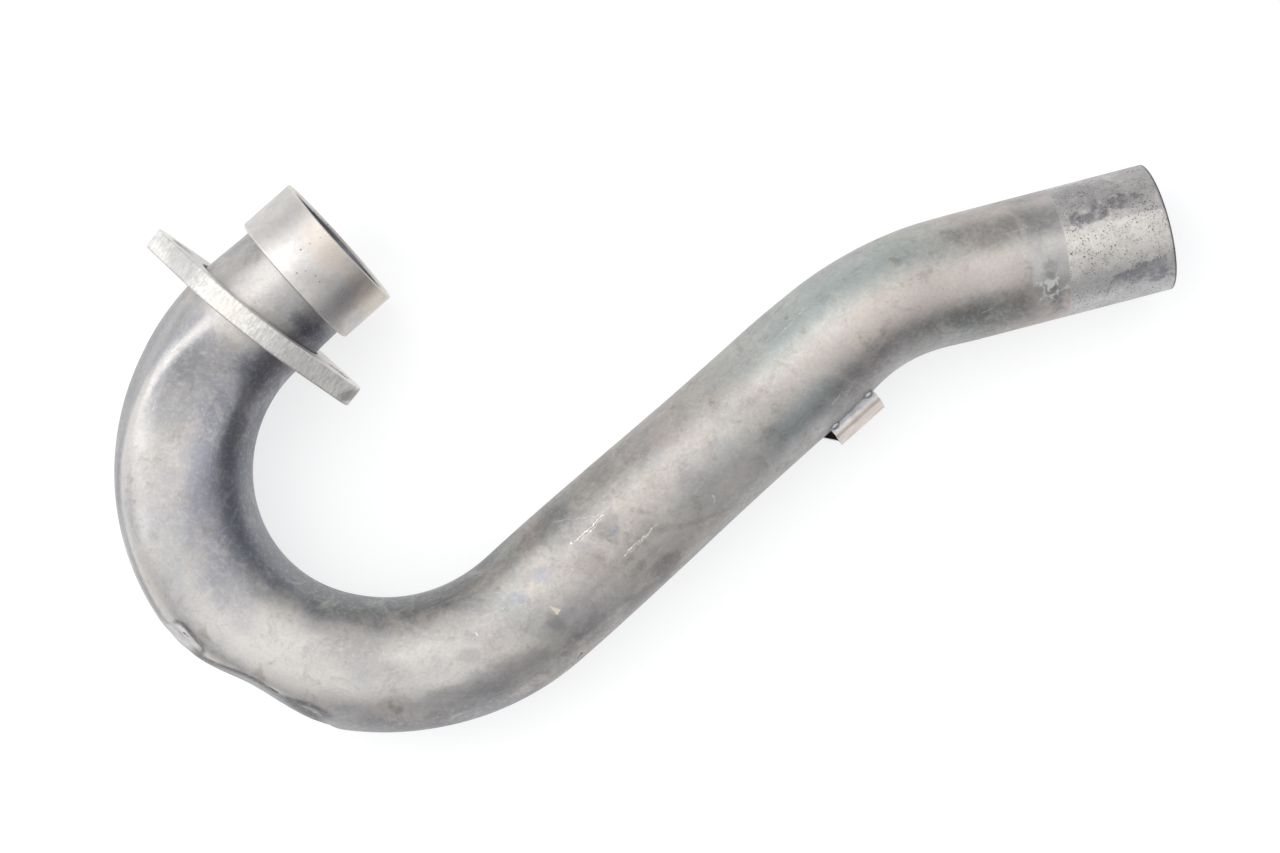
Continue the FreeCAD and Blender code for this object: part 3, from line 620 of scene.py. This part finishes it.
class TubeMetal(Metal):
    """Bare, heat-tinted tube: brushed, mottled, scratched, and pitted where it slips in, with
    painted highlights, painted shade and painted dark reflections along its bends, run and tail.
    """

    def __init__(self):
        super().__init__("drawn_tube_metal")
        works = self.works
        self.along = self.kept("along") / MM
        self.inside, self.dented, self.fold = map(self.kept, ("inside", "dented", "fold"))
        _, turn, _ = works.split(works.node("ShaderNodeUVMap", {"uv_map": "wrap"}))
        turn = turn * (2.0 * math.pi)
        # Round the tube: out is 1 outside the return bend and -1 inside it, up is 1 on top
        self.out, self.up = works.maths("COSINE", turn), works.maths("SINE", turn)
        self.seen = works.ease(self.place[2], -0.006, 0.004)

        # Long soft clouds, round clouds, spots and grain
        self.streaks = works.noise(self.laid(0.016, 0.55), 2.2, 5.0, 0.6, 0.5)
        self.cloud = works.noise(self.point, 48.0, 5.0, 0.62, 0.5)
        self.small = works.noise(self.point, 190.0, 4.0, 0.6, 0.3)
        self.fine = works.noise(self.point, 1100.0, 3.0, 0.65)
        self.drawn = works.noise(self.laid(0.10, 22.0), 1.6, 3.0, 0.6)
        self.ragged = (self.small - 0.5) * 2.2 + (self.cloud - 0.5) * 2.0
        self.uneven = (self.cloud - 0.5) * 0.7 + (self.small - 0.5) * 0.35
        self.belly = self.stretch(130.0, 165.0)
        self.tinged = self.stretch(205.0, 260.0)

    def kept(self, name):
        """A value that the mesh keeps at each point."""
        return self.works.node("ShaderNodeAttribute", {"attribute_name": name}, {}, "Fac")

    def laid(self, lengthwise, round_it):
        """A space for noise that is drawn out along the tube."""
        return self.works.vector(
            self.along * lengthwise, self.out * round_it, self.up * round_it)

    def stretch(self, start, full, fading=None, end=None):
        """1 on a length of the tube, millimetres from the port, eased in and also out."""
        share = self.works.ease(self.along, start, full)
        return share if end is None else share * self.works.ease(self.along, end, fading)

    def near(self, middle, half, core, waver):
        """1 near a place along the tube, with a wavering edge."""
        return self.works.ease(abs(self.along - middle + waver), half, core)

    def side(self, middle, half, core, waver=0.0):
        """1 near a value of out, on the side of the tube where that is."""
        return self.works.ease(abs(self.out - middle + waver), half, core)

    def tint_and_light_return_bend(self):
        """Painted dark reflections inside the bend with a painted pale rim at its inner edge, and
        a painted highlight along its belly beside a painted dark reflection, with a dark line
        outside it.
        """
        works, out, uneven = self.works, self.out, self.uneven
        self.colour = self.mixed(works.ramp(self.streaks, 0.38, 0.62), "CECBC8", "B4B3B5")
        self.lay(works.ramp(self.cloud, 0.46, 0.72, 0.0, 0.5), "CCC4BB")
        # Painted dark reflection: darker over the inner half of the bend
        inner_half_dark_reflection = self.stretch(64.0, 88.0, 130.0, 165.0) * works.ease(out + uneven, 0.20, -0.24)
        self.lay(inner_half_dark_reflection * 0.50, "8F9098")
        bend = self.stretch(22.0, 60.0, 258.0, 350.0)
        # Painted dark reflection inside the bend
        inside_dark_reflection = works.ease(out + uneven + self.belly * 0.27, -0.20, -0.68)
        self.lay(bend * inside_dark_reflection * (self.belly * 0.14 + 0.74),
                 self.mixed(self.stretch(110.0, 190.0), "747987", "6A6F6F"))
        # Painted reflection: a pale rim along the inner edge of the bend
        inner_rim_reflection = self.stretch(84.0, 104.0, 215.0, 240.0) * works.ease(out, -0.80, -0.94)
        self.lay(inner_rim_reflection * 0.35, "A2A6A4")
        blue = bend * self.side(-0.30, 0.30, 0.05, uneven) * self.stretch(150.0, 90.0)
        self.lay(blue * 0.45, "8D92A6")
        self.lay(works.ease(abs(out) + uneven * 0.15, 0.80, 0.95) * 0.35, "828388")
        turn_round = self.stretch(108.0, 150.0, 222.0, 262.0)
        # Painted highlight: a pale band along the belly
        self.lay(turn_round * self.side(0.26, 0.34, 0.06, uneven * 0.4) * 0.45, "EFECE8")
        # Painted dark reflection beside the belly's highlight, towards the outside
        belly_dark_reflection = turn_round * works.ease(out + uneven * 0.3, 0.52, 0.76)
        self.lay(belly_dark_reflection * self.stretch(166.0, 190.0) * 0.58, "64646C")
        edge_line = self.stretch(66.0, 100.0, 132.0, 146.0) * self.side(0.855, 0.075, 0.02)
        self.lay(edge_line * works.ease(self.up, 0.0, 0.1) * 0.60, "70737F")

    def tint_and_light_dents(self):
        """Paler, mottled pressed flats with painted shade on their folds; on the crown, painted
        shade over its top, a painted highlight along its ridge and a painted dark reflection on
        its outer side.
        """
        works, out, up = self.works, self.out, self.up
        flat = works.ease(self.dented, 0.30, 0.90) * (1.0 - self.fold)
        self.lay(flat * 0.45, self.mixed(works.ramp(self.small, 0.42, 0.60), "E0E0E3", "A3A4AA"))
        # Painted shade: dark on the folds of the dents and small flats
        self.lay(self.fold * 0.85, "474951")
        crown = self.stretch(40.0, 50.0, 68.0, 92.0) * works.ease(up, 0.0, 0.5)
        # Painted shade over the top of the crown
        crown_top_shade = crown * works.ease(out + self.uneven * 0.4, 0.62, 0.46)
        self.lay(crown_top_shade * works.ramp(self.streaks, 0.3, 0.6, 0.45, 0.8), "82838A")
        self.lay(self.patch((238, 388), 70, 26, -62) * self.seen * 0.35, "B9B9BE")
        ridge = (works.ramp(self.along, 44.0, 72.0, 0.32, 0.64)
                 + works.ramp(self.along, 72.0, 112.0, 0.0, 0.19))
        # Painted highlight along the crown's ridge
        ridge_highlight = works.ease(abs(out - ridge), 0.14, 0.01) * works.ease(up, 0.0, 0.3)
        self.lay(ridge_highlight * self.stretch(41.0, 50.0, 92.0, 122.0) * 0.42, "EDE9E3")
        # Painted dark reflection on the outer side, beyond the ridge
        flank_dark_reflection = self.stretch(40.0, 52.0, 86.0, 112.0) * works.ease(out - ridge, 0.06, 0.16)
        self.lay(flank_dark_reflection * works.ease(up, -0.3, 0.2) * 0.45, "8F9096")

    def tint_and_light_run_and_tail(self):
        """Warm along the top with a pinkish painted highlight, painted shade and painted light and
        dark bands along the run, teal over the tail bend, violet and a painted dark reflection
        below it.
        """
        works, cloud, small, uneven = self.works, self.cloud, self.small, self.uneven
        wide_waver, side_waver = (cloud - 0.5) * 60.0, (small - 0.5) * 0.3
        # Painted shade, darker where the softbox's reflection falls along the run
        upper_side_shade = self.stretch(150.0, 175.0, 300.0, 350.0)
        self.lay(upper_side_shade * self.side(-0.45, 0.34, 0.06, self.belly * -0.10) * 0.58, "A5A3A1")
        # On the run's lower side: a painted highlight, and a painted dark reflection beyond it
        low = self.stretch(228.0, 262.0, 320.0, 350.0)
        self.lay(low * self.side(0.47, 0.20, 0.05) * 0.55, "F0EDEA")
        self.lay(low * self.side(0.76, 0.18, 0.05, uneven * 0.2) * 0.50, "727277")
        tinge = works.noise(self.point, 27.0, 4.0, 0.6, 1.0)
        teal_tinge = self.tinged * self.stretch(456.0, 430.0)
        self.lay(teal_tinge * works.ramp(tinge, 0.48, 0.40, 0.0, 0.32), "A3B0B1")
        self.lay(self.tinged * works.ramp(tinge, 0.53, 0.62, 0.0, 0.38), "C9B8B4")
        run = self.stretch(215.0, 265.0, 430.0, 455.0)
        self.lay(run * works.ramp(cloud, 0.35, 0.6, 0.2, 0.6), "B7B2AC")
        # Painted highlight along the top of the tail, tinted pink
        rose_highlight = self.stretch(335.0, 385.0, 425.0, 452.0) * self.side(0.02, 0.62, 0.08)
        self.lay(rose_highlight * works.ramp(self.streaks, 0.3, 0.6, 0.4, 0.8), "D6CBC5")
        teal = self.stretch(318.0, 372.0, 392.0, 432.0)
        self.lay(teal * self.side(-0.68, 0.52, 0.06, (cloud - 0.5) * 0.6) * 0.6, "B0BEBD")
        teal_below = self.near(352.0, 26.0, 6.0, wide_waver) * self.side(0.42, 0.36, 0.08)
        self.lay(teal_below * 0.50, "8A9B9D")
        cool = self.stretch(318.0, 350.0, 410.0, 440.0)
        self.lay(cool * works.ease(self.out + uneven * 0.3, 0.30, 0.72) * 0.35, "A8AEB3")
        # Violet tint with a painted dark reflection along the lower side
        violet = self.near(382.0, 32.0, 6.0, wide_waver) * self.side(0.60, 0.40, 0.06, side_waver)
        self.lay(violet * 0.48, "6E656E")
        # Painted dark reflection along the lower side, nearer the outlet
        lower_dark_reflection = self.near(424.0, 32.0, 6.0, wide_waver) * self.side(0.62, 0.42, 0.08, side_waver)
        self.lay(lower_dark_reflection * 0.65, "6A6C6A")
        duller = self.near(438.0, 34.0, 8.0, (small - 0.5) * 60.0)
        self.lay(duller * self.side(-0.55, 0.36, 0.08) * 0.55, "7C7B79")

    def tint_neck(self):
        """Dull between the collar and the flange, dark on its inner side."""
        works, spread = self.works, self.out + self.uneven
        self.lay(self.stretch(46.0, 36.0) * 0.30, "ABA8A6")
        shaded = self.stretch(14.0, 24.0, 34.0, 60.0) * works.ease(spread, -0.26, -0.80)
        self.lay(shaded * 0.70, "5F616D")
        self.lay(self.stretch(34.0, 22.0) * works.ease(spread, 0.35, 0.85) * 0.35, "8C8B8C")
        self.lay(self.patch((307, 326), 34, 15, -42) * self.seen * 0.42, "454A5E")

    def stain(self):
        """Wide smoky clouds, brown speckles, rubbed spots and single blotches."""
        works, point, cloud, small = self.works, self.point, self.cloud, self.small
        smoke = works.ramp(works.noise(point, 30.0, 6.0, 0.68, 1.4), 0.50, 0.62)
        self.lay(smoke * self.stretch(165.0, 215.0, 300.0, 350.0) * 0.38, "8B898B")
        bloom = works.ramp(works.noise(point, 62.0, 6.0, 0.72, 0.8), 0.53, 0.63)
        self.lay(bloom * 0.30, "D8D4CD")
        blotch = works.ramp(works.noise(point, 75.0, 5.0, 0.7, 1.2), 0.55, 0.68)
        self.lay(blotch * 0.25, "7D7A7B")
        self.lay(works.ramp(small, 0.57, 0.70) * works.ramp(cloud, 0.40, 0.56) * 0.40, "857C74")
        pepper = works.ease(works.cells(point, 1150.0), 0.24, 0.10)
        self.lay(pepper * works.ramp(small, 0.46, 0.62) * 0.40, "746C66")
        sand = works.ramp(works.noise(point, 620.0, 3.0, 0.7), 0.50, 0.66)
        self.lay(sand * 0.22, "DAD6D0")
        self.mottle = self.seen * self.patches(MOTTLES)
        self.lay(works.least(self.mottle, 1.0) * 0.36, "67656A")
        self.lay(works.least(self.seen * self.patches(DARK_CORES), 1.0) * 0.22, "5F5D62")
        self.lay(self.seen * self.patches(BLUED_SPOTS) * 0.26, "8794BC")

    def wear_slip_joint(self):
        """Rubbed lighter past a slanted line, sooty on top, with grey patches."""
        works, point, out = self.works, self.point, self.out
        line = self.along + out * 1.5 + (self.small - 0.5) * 1.2
        self.slip = slip = works.ease(line, SLIP_LINE, SLIP_LINE + 0.9)
        self.crust = crust = works.ramp(works.noise(point, 130.0, 6.0, 0.75, 0.6), 0.42, 0.60)
        self.lay(slip * works.ramp(out, -0.25, -0.70, 0.90, 0.55),
                 self.mixed(crust, "E6E3DE", "DAD7D3"))
        edge = works.ease(abs(line - (SLIP_LINE + 0.8)), 0.9, 0.2)
        self.lay(edge * works.ramp(self.cloud, 0.4, 0.6) * 0.45, "E4E1DB")
        above = self.left_of(*SOOT_LINE) + (self.small - 0.5) * 5.0 + (self.cloud - 0.5) * 3.0
        sooty_top = slip * self.seen * works.ease(above, -0.25, 0.35)
        self.lay(sooty_top * works.ramp(crust, 0.0, 1.0, 0.30, 0.55), "98979B")
        tide = slip * works.ease(works.noise(point, 210.0, 5.0, 0.7, 0.6), 0.56, 0.50)
        self.lay(tide * 0.16, "9B999A")
        grey = works.least(slip * self.seen * self.patches(GREY_ON_SLIP_JOINT), 1.0)
        worn = works.ramp(works.noise(point, 340.0, 4.0, 0.7), 0.38, 0.58, 0.35, 0.9)
        self.lay(grey * worn * 0.9, "7B7A7E")
        self.lay(slip * works.ease(out, 0.22, 0.62) * 0.45, "B2B4B9")
        under = slip * works.ease(self.place[2], 0.0, -0.012) * works.ramp(crust, 0.2, 0.8)
        self.lay(under * 0.6, "767373")

    def pit_slip_joint(self):
        """Pits, the weld's stains and its pale deposits, dust and a burnt end."""
        works, point, seen = self.works, self.point, self.seen
        jitter = works.also(works.noise(point, 700.0, 2.0), 1)
        large, little = (
            works.cells(works.vectors("ADD", point, works.scaled(jitter, reach)), scale)
            for reach, scale in ((0.0018, 900.0), (0.0014, 1450.0)))
        pitted = works.ramp(works.noise(point, 120.0, 4.0, 0.7), 0.40, 0.52)
        self.pits = self.slip * works.most(
            works.ease(large, 0.29, 0.14) * pitted,
            works.ease(little, 0.32, 0.16) * works.ramp(self.crust, 0.1, 0.7))
        self.lay(self.pits * 0.66, "5A5653")
        self.lay(self.patch((1051, 272), 15, 20, 12, 1.5, 0.6) * seen * 0.50, "868A89")
        self.lay(self.patch((1059, 296), 16, 26, 30) * seen * 0.6, "757578")
        self.lay(self.patch((1039, 274), 13, 28, 18, 1.2, 0.9) * seen * 0.42, "CFD4D5")
        flakes = works.ramp(works.noise(point, 360.0, 4.0, 0.65, 0.8), 0.50, 0.55)
        self.deposit = self.patch((1054, 289), 30, 34, 12) * seen * flakes
        self.lay(self.deposit * 0.8, "D5D5D3")
        dust = self.slip * works.ramp(works.noise(point, 420.0, 4.0, 0.7), 0.58, 0.64)
        self.lay(dust * 0.28, "EAE7E2")
        self.lay(self.stretch(END - 0.9, END - 0.35) * 0.75, "47444A")

    def scratch(self):
        """Hair lines, bright scratches, the chip and the nicks."""
        works, point, seen = self.works, self.point, self.seen
        hair = works.ramp(works.noise(self.laid(0.03, 30.0), 1.4, 2.0, 0.5, 0.6), 0.66, 0.74)
        self.lay(hair * 0.22, "DDD9D3")
        drawn_off = works.split(works.wander(point, 420.0, 0.0026))
        bright = works.least(seen * self.streaks_on(drawn_off, SCRATCHES), 1.0)
        broken = works.ramp(works.noise(point, 900.0, 3.0, 0.75), 0.36, 0.50, 0.1, 1.0)
        self.bright = bright * broken
        self.lay(self.bright * 0.9, "F6F3EC")
        self.chip = self.flake(*CHIP) * seen
        self.lay(self.chip, "DED6C4")
        self.nick = seen * self.streaks_on(drawn_off, NICKS)
        self.lay(works.least(self.nick, 1.0) * 0.8, "3B3836")

    def made(self):
        works = self.works
        self.tint_and_light_return_bend()
        self.tint_and_light_dents()
        self.tint_and_light_run_and_tail()
        self.tint_neck()
        self.stain()
        self.wear_slip_joint()
        self.pit_slip_joint()
        self.scratch()
        sooty = self.mixed(works.ramp(self.cloud, 0.35, 0.65), "2C2A2B", "45454C")
        self.lay(works.ease(self.inside, 0.45, 1.0), sooty)
        self.lay(works.ramp(self.fine, 0.42, 0.78, 0.0, 0.16), "6E665E")
        roughness = (
            works.ramp(self.cloud + (self.streaks - 0.5) * 0.5, 0.30, 0.72, 0.38, 0.50)
            + self.tinged * 0.08 + self.mottle * 0.06 + self.pits * 0.2 + self.deposit * 0.3
            + self.inside * 0.3)
        height = (
            self.fine * 0.10 + self.drawn * 0.05 + self.small * 0.10 - self.pits * 1.2
            + self.deposit * 0.8 - self.bright * 0.5 - self.chip * 0.6 - self.nick * 0.8
            + self.crust * self.slip * 0.35)
        metallic = 1.0 - self.deposit * 0.7 - self.chip * 0.8 - self.inside * 0.5
        return self.finished(roughness, 0.55, 0.00012, height, metallic)


def collar_metal():
    """Turned ring: satin, with fine turning lines, small pits, a warm, mottled tint, and painted
    light that makes its side facing right paler.
    """
    metal = Metal("turned_collar_metal")
    works, point = metal.works, metal.point
    axial = works.reach(point, port_axis) / MM
    lines = works.noise(works.vector(axial * 2.4, 0.0, 0.0), 1.0, 4.0, 0.75)
    cloud = works.noise(point, 85.0, 5.0, 0.65, 0.6)
    small = works.noise(point, 420.0, 4.0, 0.65, 0.3)
    fine = works.noise(point, 1500.0, 3.0, 0.65)
    metal.ragged = (cloud - 0.5) * 2.4
    metal.colour = metal.mixed(works.ramp(cloud, 0.35, 0.68), "D9D6D3", "C8C5C3")
    metal.lay(works.ramp(small, 0.50, 0.75, 0.0, 0.4), "B1ACA8")
    metal.lay(metal.patch((326, 246), 60, 34, -48) * 0.5, "D6C7B8")
    # Warm tint and painted light: paler on the side that faces right
    metal.lay(metal.patch((372, 298), 60, 44, -48) * 0.6, "DDD3C4")
    metal.lay(metal.patch((346, 296), 36, 20, 48) * 0.3, "9A9398")
    metal.lay(metal.patch((290, 232), 40, 24, 40) * 0.2, "A5A5A8")
    specks = works.ease(works.cells(point, 420.0), 0.16, 0.06) * works.ramp(cloud, 0.5, 0.6)
    metal.lay(specks * 0.55, "6E6862")
    rear = works.ease(axial, 1.1 - COLLAR_LENGTH, 0.4 - COLLAR_LENGTH)
    metal.lay(rear * 0.5, "E8E5E0")
    metal.lay(works.ease(axial, -0.9, -0.2) * 0.5, "E6E0D4")
    off_axis = works.vectors("LENGTH", works.vectors("SUBTRACT", point, works.scaled(
        tuple(port_axis), axial * MM)), out="Value")
    bore = works.ease(off_axis, 0.0217, 0.0213)
    metal.lay(bore * 0.9, metal.mixed(works.ramp(cloud, 0.35, 0.65), "959CAC", "817F84"))
    metal.lay(works.ramp(fine, 0.45, 0.8, 0.0, 0.15), "857F78")
    roughness = works.ramp(cloud, 0.3, 0.7, 0.38, 0.50) + specks * 0.2
    height = lines * 0.18 + small * 0.45 + fine * 0.12 - specks * 0.8
    return metal.finished(roughness, 0.6, 0.00016, height)


def flange_metal():
    """Plate cut from bar: satin faces and a bright edge with rough strokes across it."""
    metal = Metal("flange_plate_metal")
    works, point = metal.works, metal.point
    axial = works.reach(point, flange_axis, flange_centre)
    wavy = works.wander(point, 220.0, 0.0022)
    flat = works.vectors("SUBTRACT", wavy, works.scaled(tuple(flange_axis), axial * 0.72))
    strokes = works.noise(flat, 1250.0, 2.5, 0.6, 0.3)
    cloud = works.noise(point, 110.0, 4.0, 0.6, 0.4)
    small = works.noise(point, 650.0, 3.0, 0.65)
    edge = works.ease(abs(axial), 0.0036, 0.0031)
    metal.ragged = (cloud - 0.5) * 2.0
    metal.colour = metal.mixed(works.ramp(cloud, 0.35, 0.68), "F2F0ED", "E4E2DF")
    metal.lay(edge * works.ramp(strokes, 0.50, 0.62, 0.0, 0.32), "B4B2AF")
    metal.lay(edge * works.ramp(strokes, 0.48, 0.36, 0.0, 0.8), "FAF8F5")
    metal.lay(metal.patch((185, 262), 60, 30, -52) * 0.45, "A9A8A8")
    metal.lay(metal.patch((232, 308), 44, 20, -45) * 0.35, "D5CCBA")
    metal.lay(metal.patch((345, 395), 18, 10, 20) * 0.5, "7D7872")
    burr = works.ease(abs(axial + 0.0033), 0.0005, 0.0001)
    metal.lay(burr * 0.35, "7E7C7A")
    metal.lay(works.ramp(small, 0.52, 0.78, 0.0, 0.3), "8E8A85")
    roughness = works.ramp(cloud, 0.3, 0.7, 0.42, 0.52) + edge * 0.12
    height = edge * strokes + small * 0.2
    return metal.finished(roughness, 0.7, 0.0002, height, 1.0 - edge * 0.4)


def sheet_metal():
    """Folded sheet: brushed along the fold, warm on the crown, greyer on its legs, with painted
    shade, nearly black, on the inner faces at the ends of its channel.
    """
    metal = Metal("bracket_sheet_metal")
    works, point = metal.works, metal.point
    away = works.reach(point, seat_axis, seat_centre)
    x, y = on_route(TAIL_BEND - 11.0)
    lengthways = (lying(x + 1.0, y + 0.88) - lying(x, y)).normalized()
    laid = works.vectors("SUBTRACT", point, works.scaled(
        tuple(lengthways), works.reach(point, lengthways) * 0.93))
    crosswise = works.reach(point, seat_axis.cross(lengthways), seat_centre) / MM
    brushed = works.noise(laid, 1700.0, 3.0, 0.65)
    cloud = works.noise(point, 210.0, 4.0, 0.6, 0.4)
    metal.colour = metal.mixed(works.ramp(cloud, 0.35, 0.68), "E6DDD5", "DAD1C9")
    metal.lay(works.ease(away, -0.0012, -0.0024),
              metal.mixed(works.ramp(cloud, 0.4, 0.65), "D3D4D9", "BDBDC4"))
    metal.lay(works.ramp(brushed, 0.48, 0.75, 0.0, 0.30), "A0988F")
    # Painted shade: nearly black on the channel's inner faces at its ends
    channel_shade = works.ease(away, -0.0012, -0.00145) * works.ease(abs(crosswise), 5.0, 4.8)
    metal.lay(channel_shade * 0.92, "2E2B29")
    roughness = works.ramp(cloud, 0.3, 0.7, 0.50, 0.60) + channel_shade * 0.3
    return metal.finished(roughness, 0.4, 0.00012, brushed * 0.5 + cloud * 0.3)


def weld_metal(name, light, dark):
    """Weld: clouded between two colours, with a dark ripple."""
    metal = Metal(name)
    works = metal.works
    cloud = works.noise(metal.point, 520.0, 4.0, 0.65, 0.5)
    ripple = works.noise(metal.point, 1600.0, 3.0, 0.6)
    metal.colour = metal.mixed(works.ramp(cloud, 0.35, 0.65), light, dark)
    metal.lay(works.ramp(ripple, 0.5, 0.8, 0.0, 0.4), "3F3E44")
    roughness = works.ramp(cloud, 0.3, 0.7, 0.28, 0.46)
    return metal.finished(roughness, 0.6, 0.0002, cloud * 0.7 + ripple * 0.3)


# Shapes of the collar and the flange
def rounded_corner(radius, height, size, start, steps=6):
    """Points of a quarter round of a turned profile, centred at radius and height."""
    angles = [math.radians(start + 90.0 * i / steps) for i in range(steps + 1)]
    return [(radius + size * math.cos(a), height + size * math.sin(a)) for a in angles]


def collar_mesh(around=144):
    """The collar's closed profile of (radius, height) corners, turned about the port's axis."""
    bore = NECK / 2 + COLLAR_CLEARANCE
    profile = (
        rounded_corner(COLLAR_RADIUS - SHOULDER_ROUND, SHOULDER_ROUND - COLLAR_LENGTH,
                       SHOULDER_ROUND, -90.0)
        + rounded_corner(COLLAR_RADIUS - LIP_ROUND, -LIP_ROUND, LIP_ROUND, 0.0, 3)
        + [(bore + MOUTH_CHAMFER, 0.0), (bore, -MOUTH_CHAMFER), (bore, -COLLAR_LENGTH)])
    side = port_axis.orthogonal().normalized()
    other = port_axis.cross(side)
    points, faces, count = [], [], len(profile)
    for step in range(around):
        angle = 2.0 * math.pi * step / around
        spoke = side * math.cos(angle) + other * math.sin(angle)
        points.extend((spoke * radius + port_axis * height) * MM for radius, height in profile)
        after = (step + 1) % around
        for corner in range(count):
            following = (corner + 1) % count
            faces.append((step * count + corner, after * count + corner,
                          after * count + following, step * count + following))
    mesh = bpy.data.meshes.new("collar")
    mesh.from_pydata(points, [], faces)
    return mesh


def arc(centre, radius, low, high, steps, end=0):
    """Points on an arc about a centre on the flange's long axis; with end 1, also its end."""
    angles = [low + (high - low) * i / steps for i in range(steps + end)]
    return [(centre + radius * math.cos(a), radius * math.sin(a)) for a in angles]


def flange_mesh():
    """The oval plate with rounded edges, from its outline, its bore and its stud holes."""
    normal = math.pi / 2 - math.asin((PLATE_MIDDLE - PLATE_TIP) / STUD_REACH)
    outline = []
    for centre, radius, low, high in (
            (STUD_REACH, PLATE_TIP, -normal, normal),
            (0.0, PLATE_MIDDLE, normal, math.pi - normal),
            (-STUD_REACH, PLATE_TIP, math.pi - normal, math.pi + normal),
            (0.0, PLATE_MIDDLE, math.pi + normal, 2 * math.pi - normal)):
        outline += arc(centre, radius, low, high, 40, end=1)
    bore = (NECK_SWELLED / 2 / math.cos(FLANGE_TILT) + PLATE_THICK / 2 * math.tan(FLANGE_TILT)
            + FLANGE_CLEARANCE)
    full = 2 * math.pi
    loops = [outline, arc(0.0, bore, 0.0, full, 128),
             arc(STUD_REACH, STUD_HOLE, 0.0, full, 48),
             arc(-STUD_REACH, STUD_HOLE, 0.0, full, 48)]
    plate = bpy.data.curves.new("flange", "CURVE")
    plate.dimensions = "2D"
    plate.fill_mode = "BOTH"
    plate.extrude = (PLATE_THICK / 2 - PLATE_ROUND) * MM
    plate.bevel_depth = PLATE_ROUND * MM
    plate.bevel_resolution = 3
    plate.offset = -PLATE_ROUND * MM
    for loop in loops:
        spline = plate.splines.new("POLY")
        spline.points.add(len(loop) - 1)
        spline.use_cyclic_u = True
        for spot, (px, py) in zip(spline.points, loop):
            spot.co = (px * MM, py * MM, 0.0, 1.0)
    mesh = plain_mesh(placed("flange", plate))
    side = flange_axis.cross(PLANE_UP).normalized()
    turn = Matrix((side, flange_axis.cross(side), flange_axis)).transposed()
    mesh.transform(Matrix.Translation(flange_centre) @ turn.to_4x4())
    return mesh


# Pieces
tube_metal = TubeMetal().made()
tube_mesh = built_by(drawn_tube_tree(), route_line(), metal=tube_metal)
tube = piece("bent_tube", tube_mesh, tube_metal, smooth_angle=60.0)
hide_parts("head_pipe")

collar = piece("turned_collar", collar_mesh(), collar_metal(), smooth_angle=30.0)
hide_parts("port_collar")

flange = piece("oval_flange", flange_mesh(), flange_metal(), body="flange", smooth_angle=40.0)
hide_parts("stud_flange")

for node, material in (("heat_shield_bracket", sheet_metal()),
                       ("bracket_tacks", weld_metal("tack_metal", "D0CFD2", "9C9BA1")),
                       ("collar_weld", weld_metal("collar_weld_metal", "5E6476", "4A4A52"))):
    wear(frame["nodes"][node].data, material)


# Table, lamps and room
MIDDLE = Vector((0.096, -0.06, 0.0))
TABLE_REACH = 3.0
TABLE_GREY, TABLE_WHITE, TABLE_LIFT = (0.42, 0.42, 0.42, 1.0), (0.985, 0.992, 1.0, 1.0), 0.68


def table_top():
    """A table that takes the header's shadow, lifted to white for the eye and in reflections."""
    mesh = bpy.data.meshes.new("table")
    corners = [(x * TABLE_REACH, y * TABLE_REACH, FLOOR)
               for x, y in ((-1, -1), (1, -1), (1, 1), (-1, 1))]
    mesh.from_pydata(corners, [], [(0, 1, 2, 3)])
    material = bpy.data.materials.new("white_table")
    works = emptied(material)
    ray = works.node("ShaderNodeLightPath")
    seen = works.most(works.also(ray, "Is Camera Ray"), works.most(
        works.also(ray, "Is Glossy Ray"), works.also(ray, "Is Transmission Ray")))
    paper = works.node("ShaderNodeBsdfDiffuse", {}, {"Color": TABLE_GREY})
    lift = works.node("ShaderNodeEmission", {}, {
        "Color": TABLE_WHITE, "Strength": seen * TABLE_LIFT})
    both = works.node("ShaderNodeAddShader", {}, {0: paper, 1: lift})
    works.node("ShaderNodeOutputMaterial", {}, {"Surface": both})
    wear(mesh, material)
    shown = placed("white_table", mesh)


def lamp(name, place, size, power):
    """A rectangular lamp that faces the middle of the header."""
    data = bpy.data.lights.new(name, "AREA")
    data.shape = "RECTANGLE"
    data.size, data.size_y = size
    data.energy = power
    shown = placed(name, data)
    shown.location = place
    shown.rotation_euler = (MIDDLE - Vector(place)).to_track_quat("-Z", "Y").to_euler()


def studio():
    """A bright ceiling that falls off to grey walls, most of all to the lower right."""
    world = bpy.data.worlds.new("studio")
    bpy.context.scene.world = world
    works = emptied(world)
    towards = works.node("ShaderNodeTexCoord", {}, {}, "Generated")
    ceiling = works.reach(towards, (-0.25, 0.10, 0.963))
    share = works.ramp(ceiling, 0.0, 0.70)
    colour = works.blend(share, (0.15, 0.155, 0.18, 1.0), (0.97, 0.97, 0.97, 1.0))
    background = works.node("ShaderNodeBackground", {}, {"Color": colour, "Strength": 1.0})
    works.node("ShaderNodeOutputWorld", {}, {"Surface": background})


table_top()
lamp("upper_left_softbox", (-0.55, 0.45, 1.4), (1.3, 1.3), 5.8)
lamp("left_window", (-1.35, 0.10, 0.75), (1.5, 0.9), 5.5)
studio()
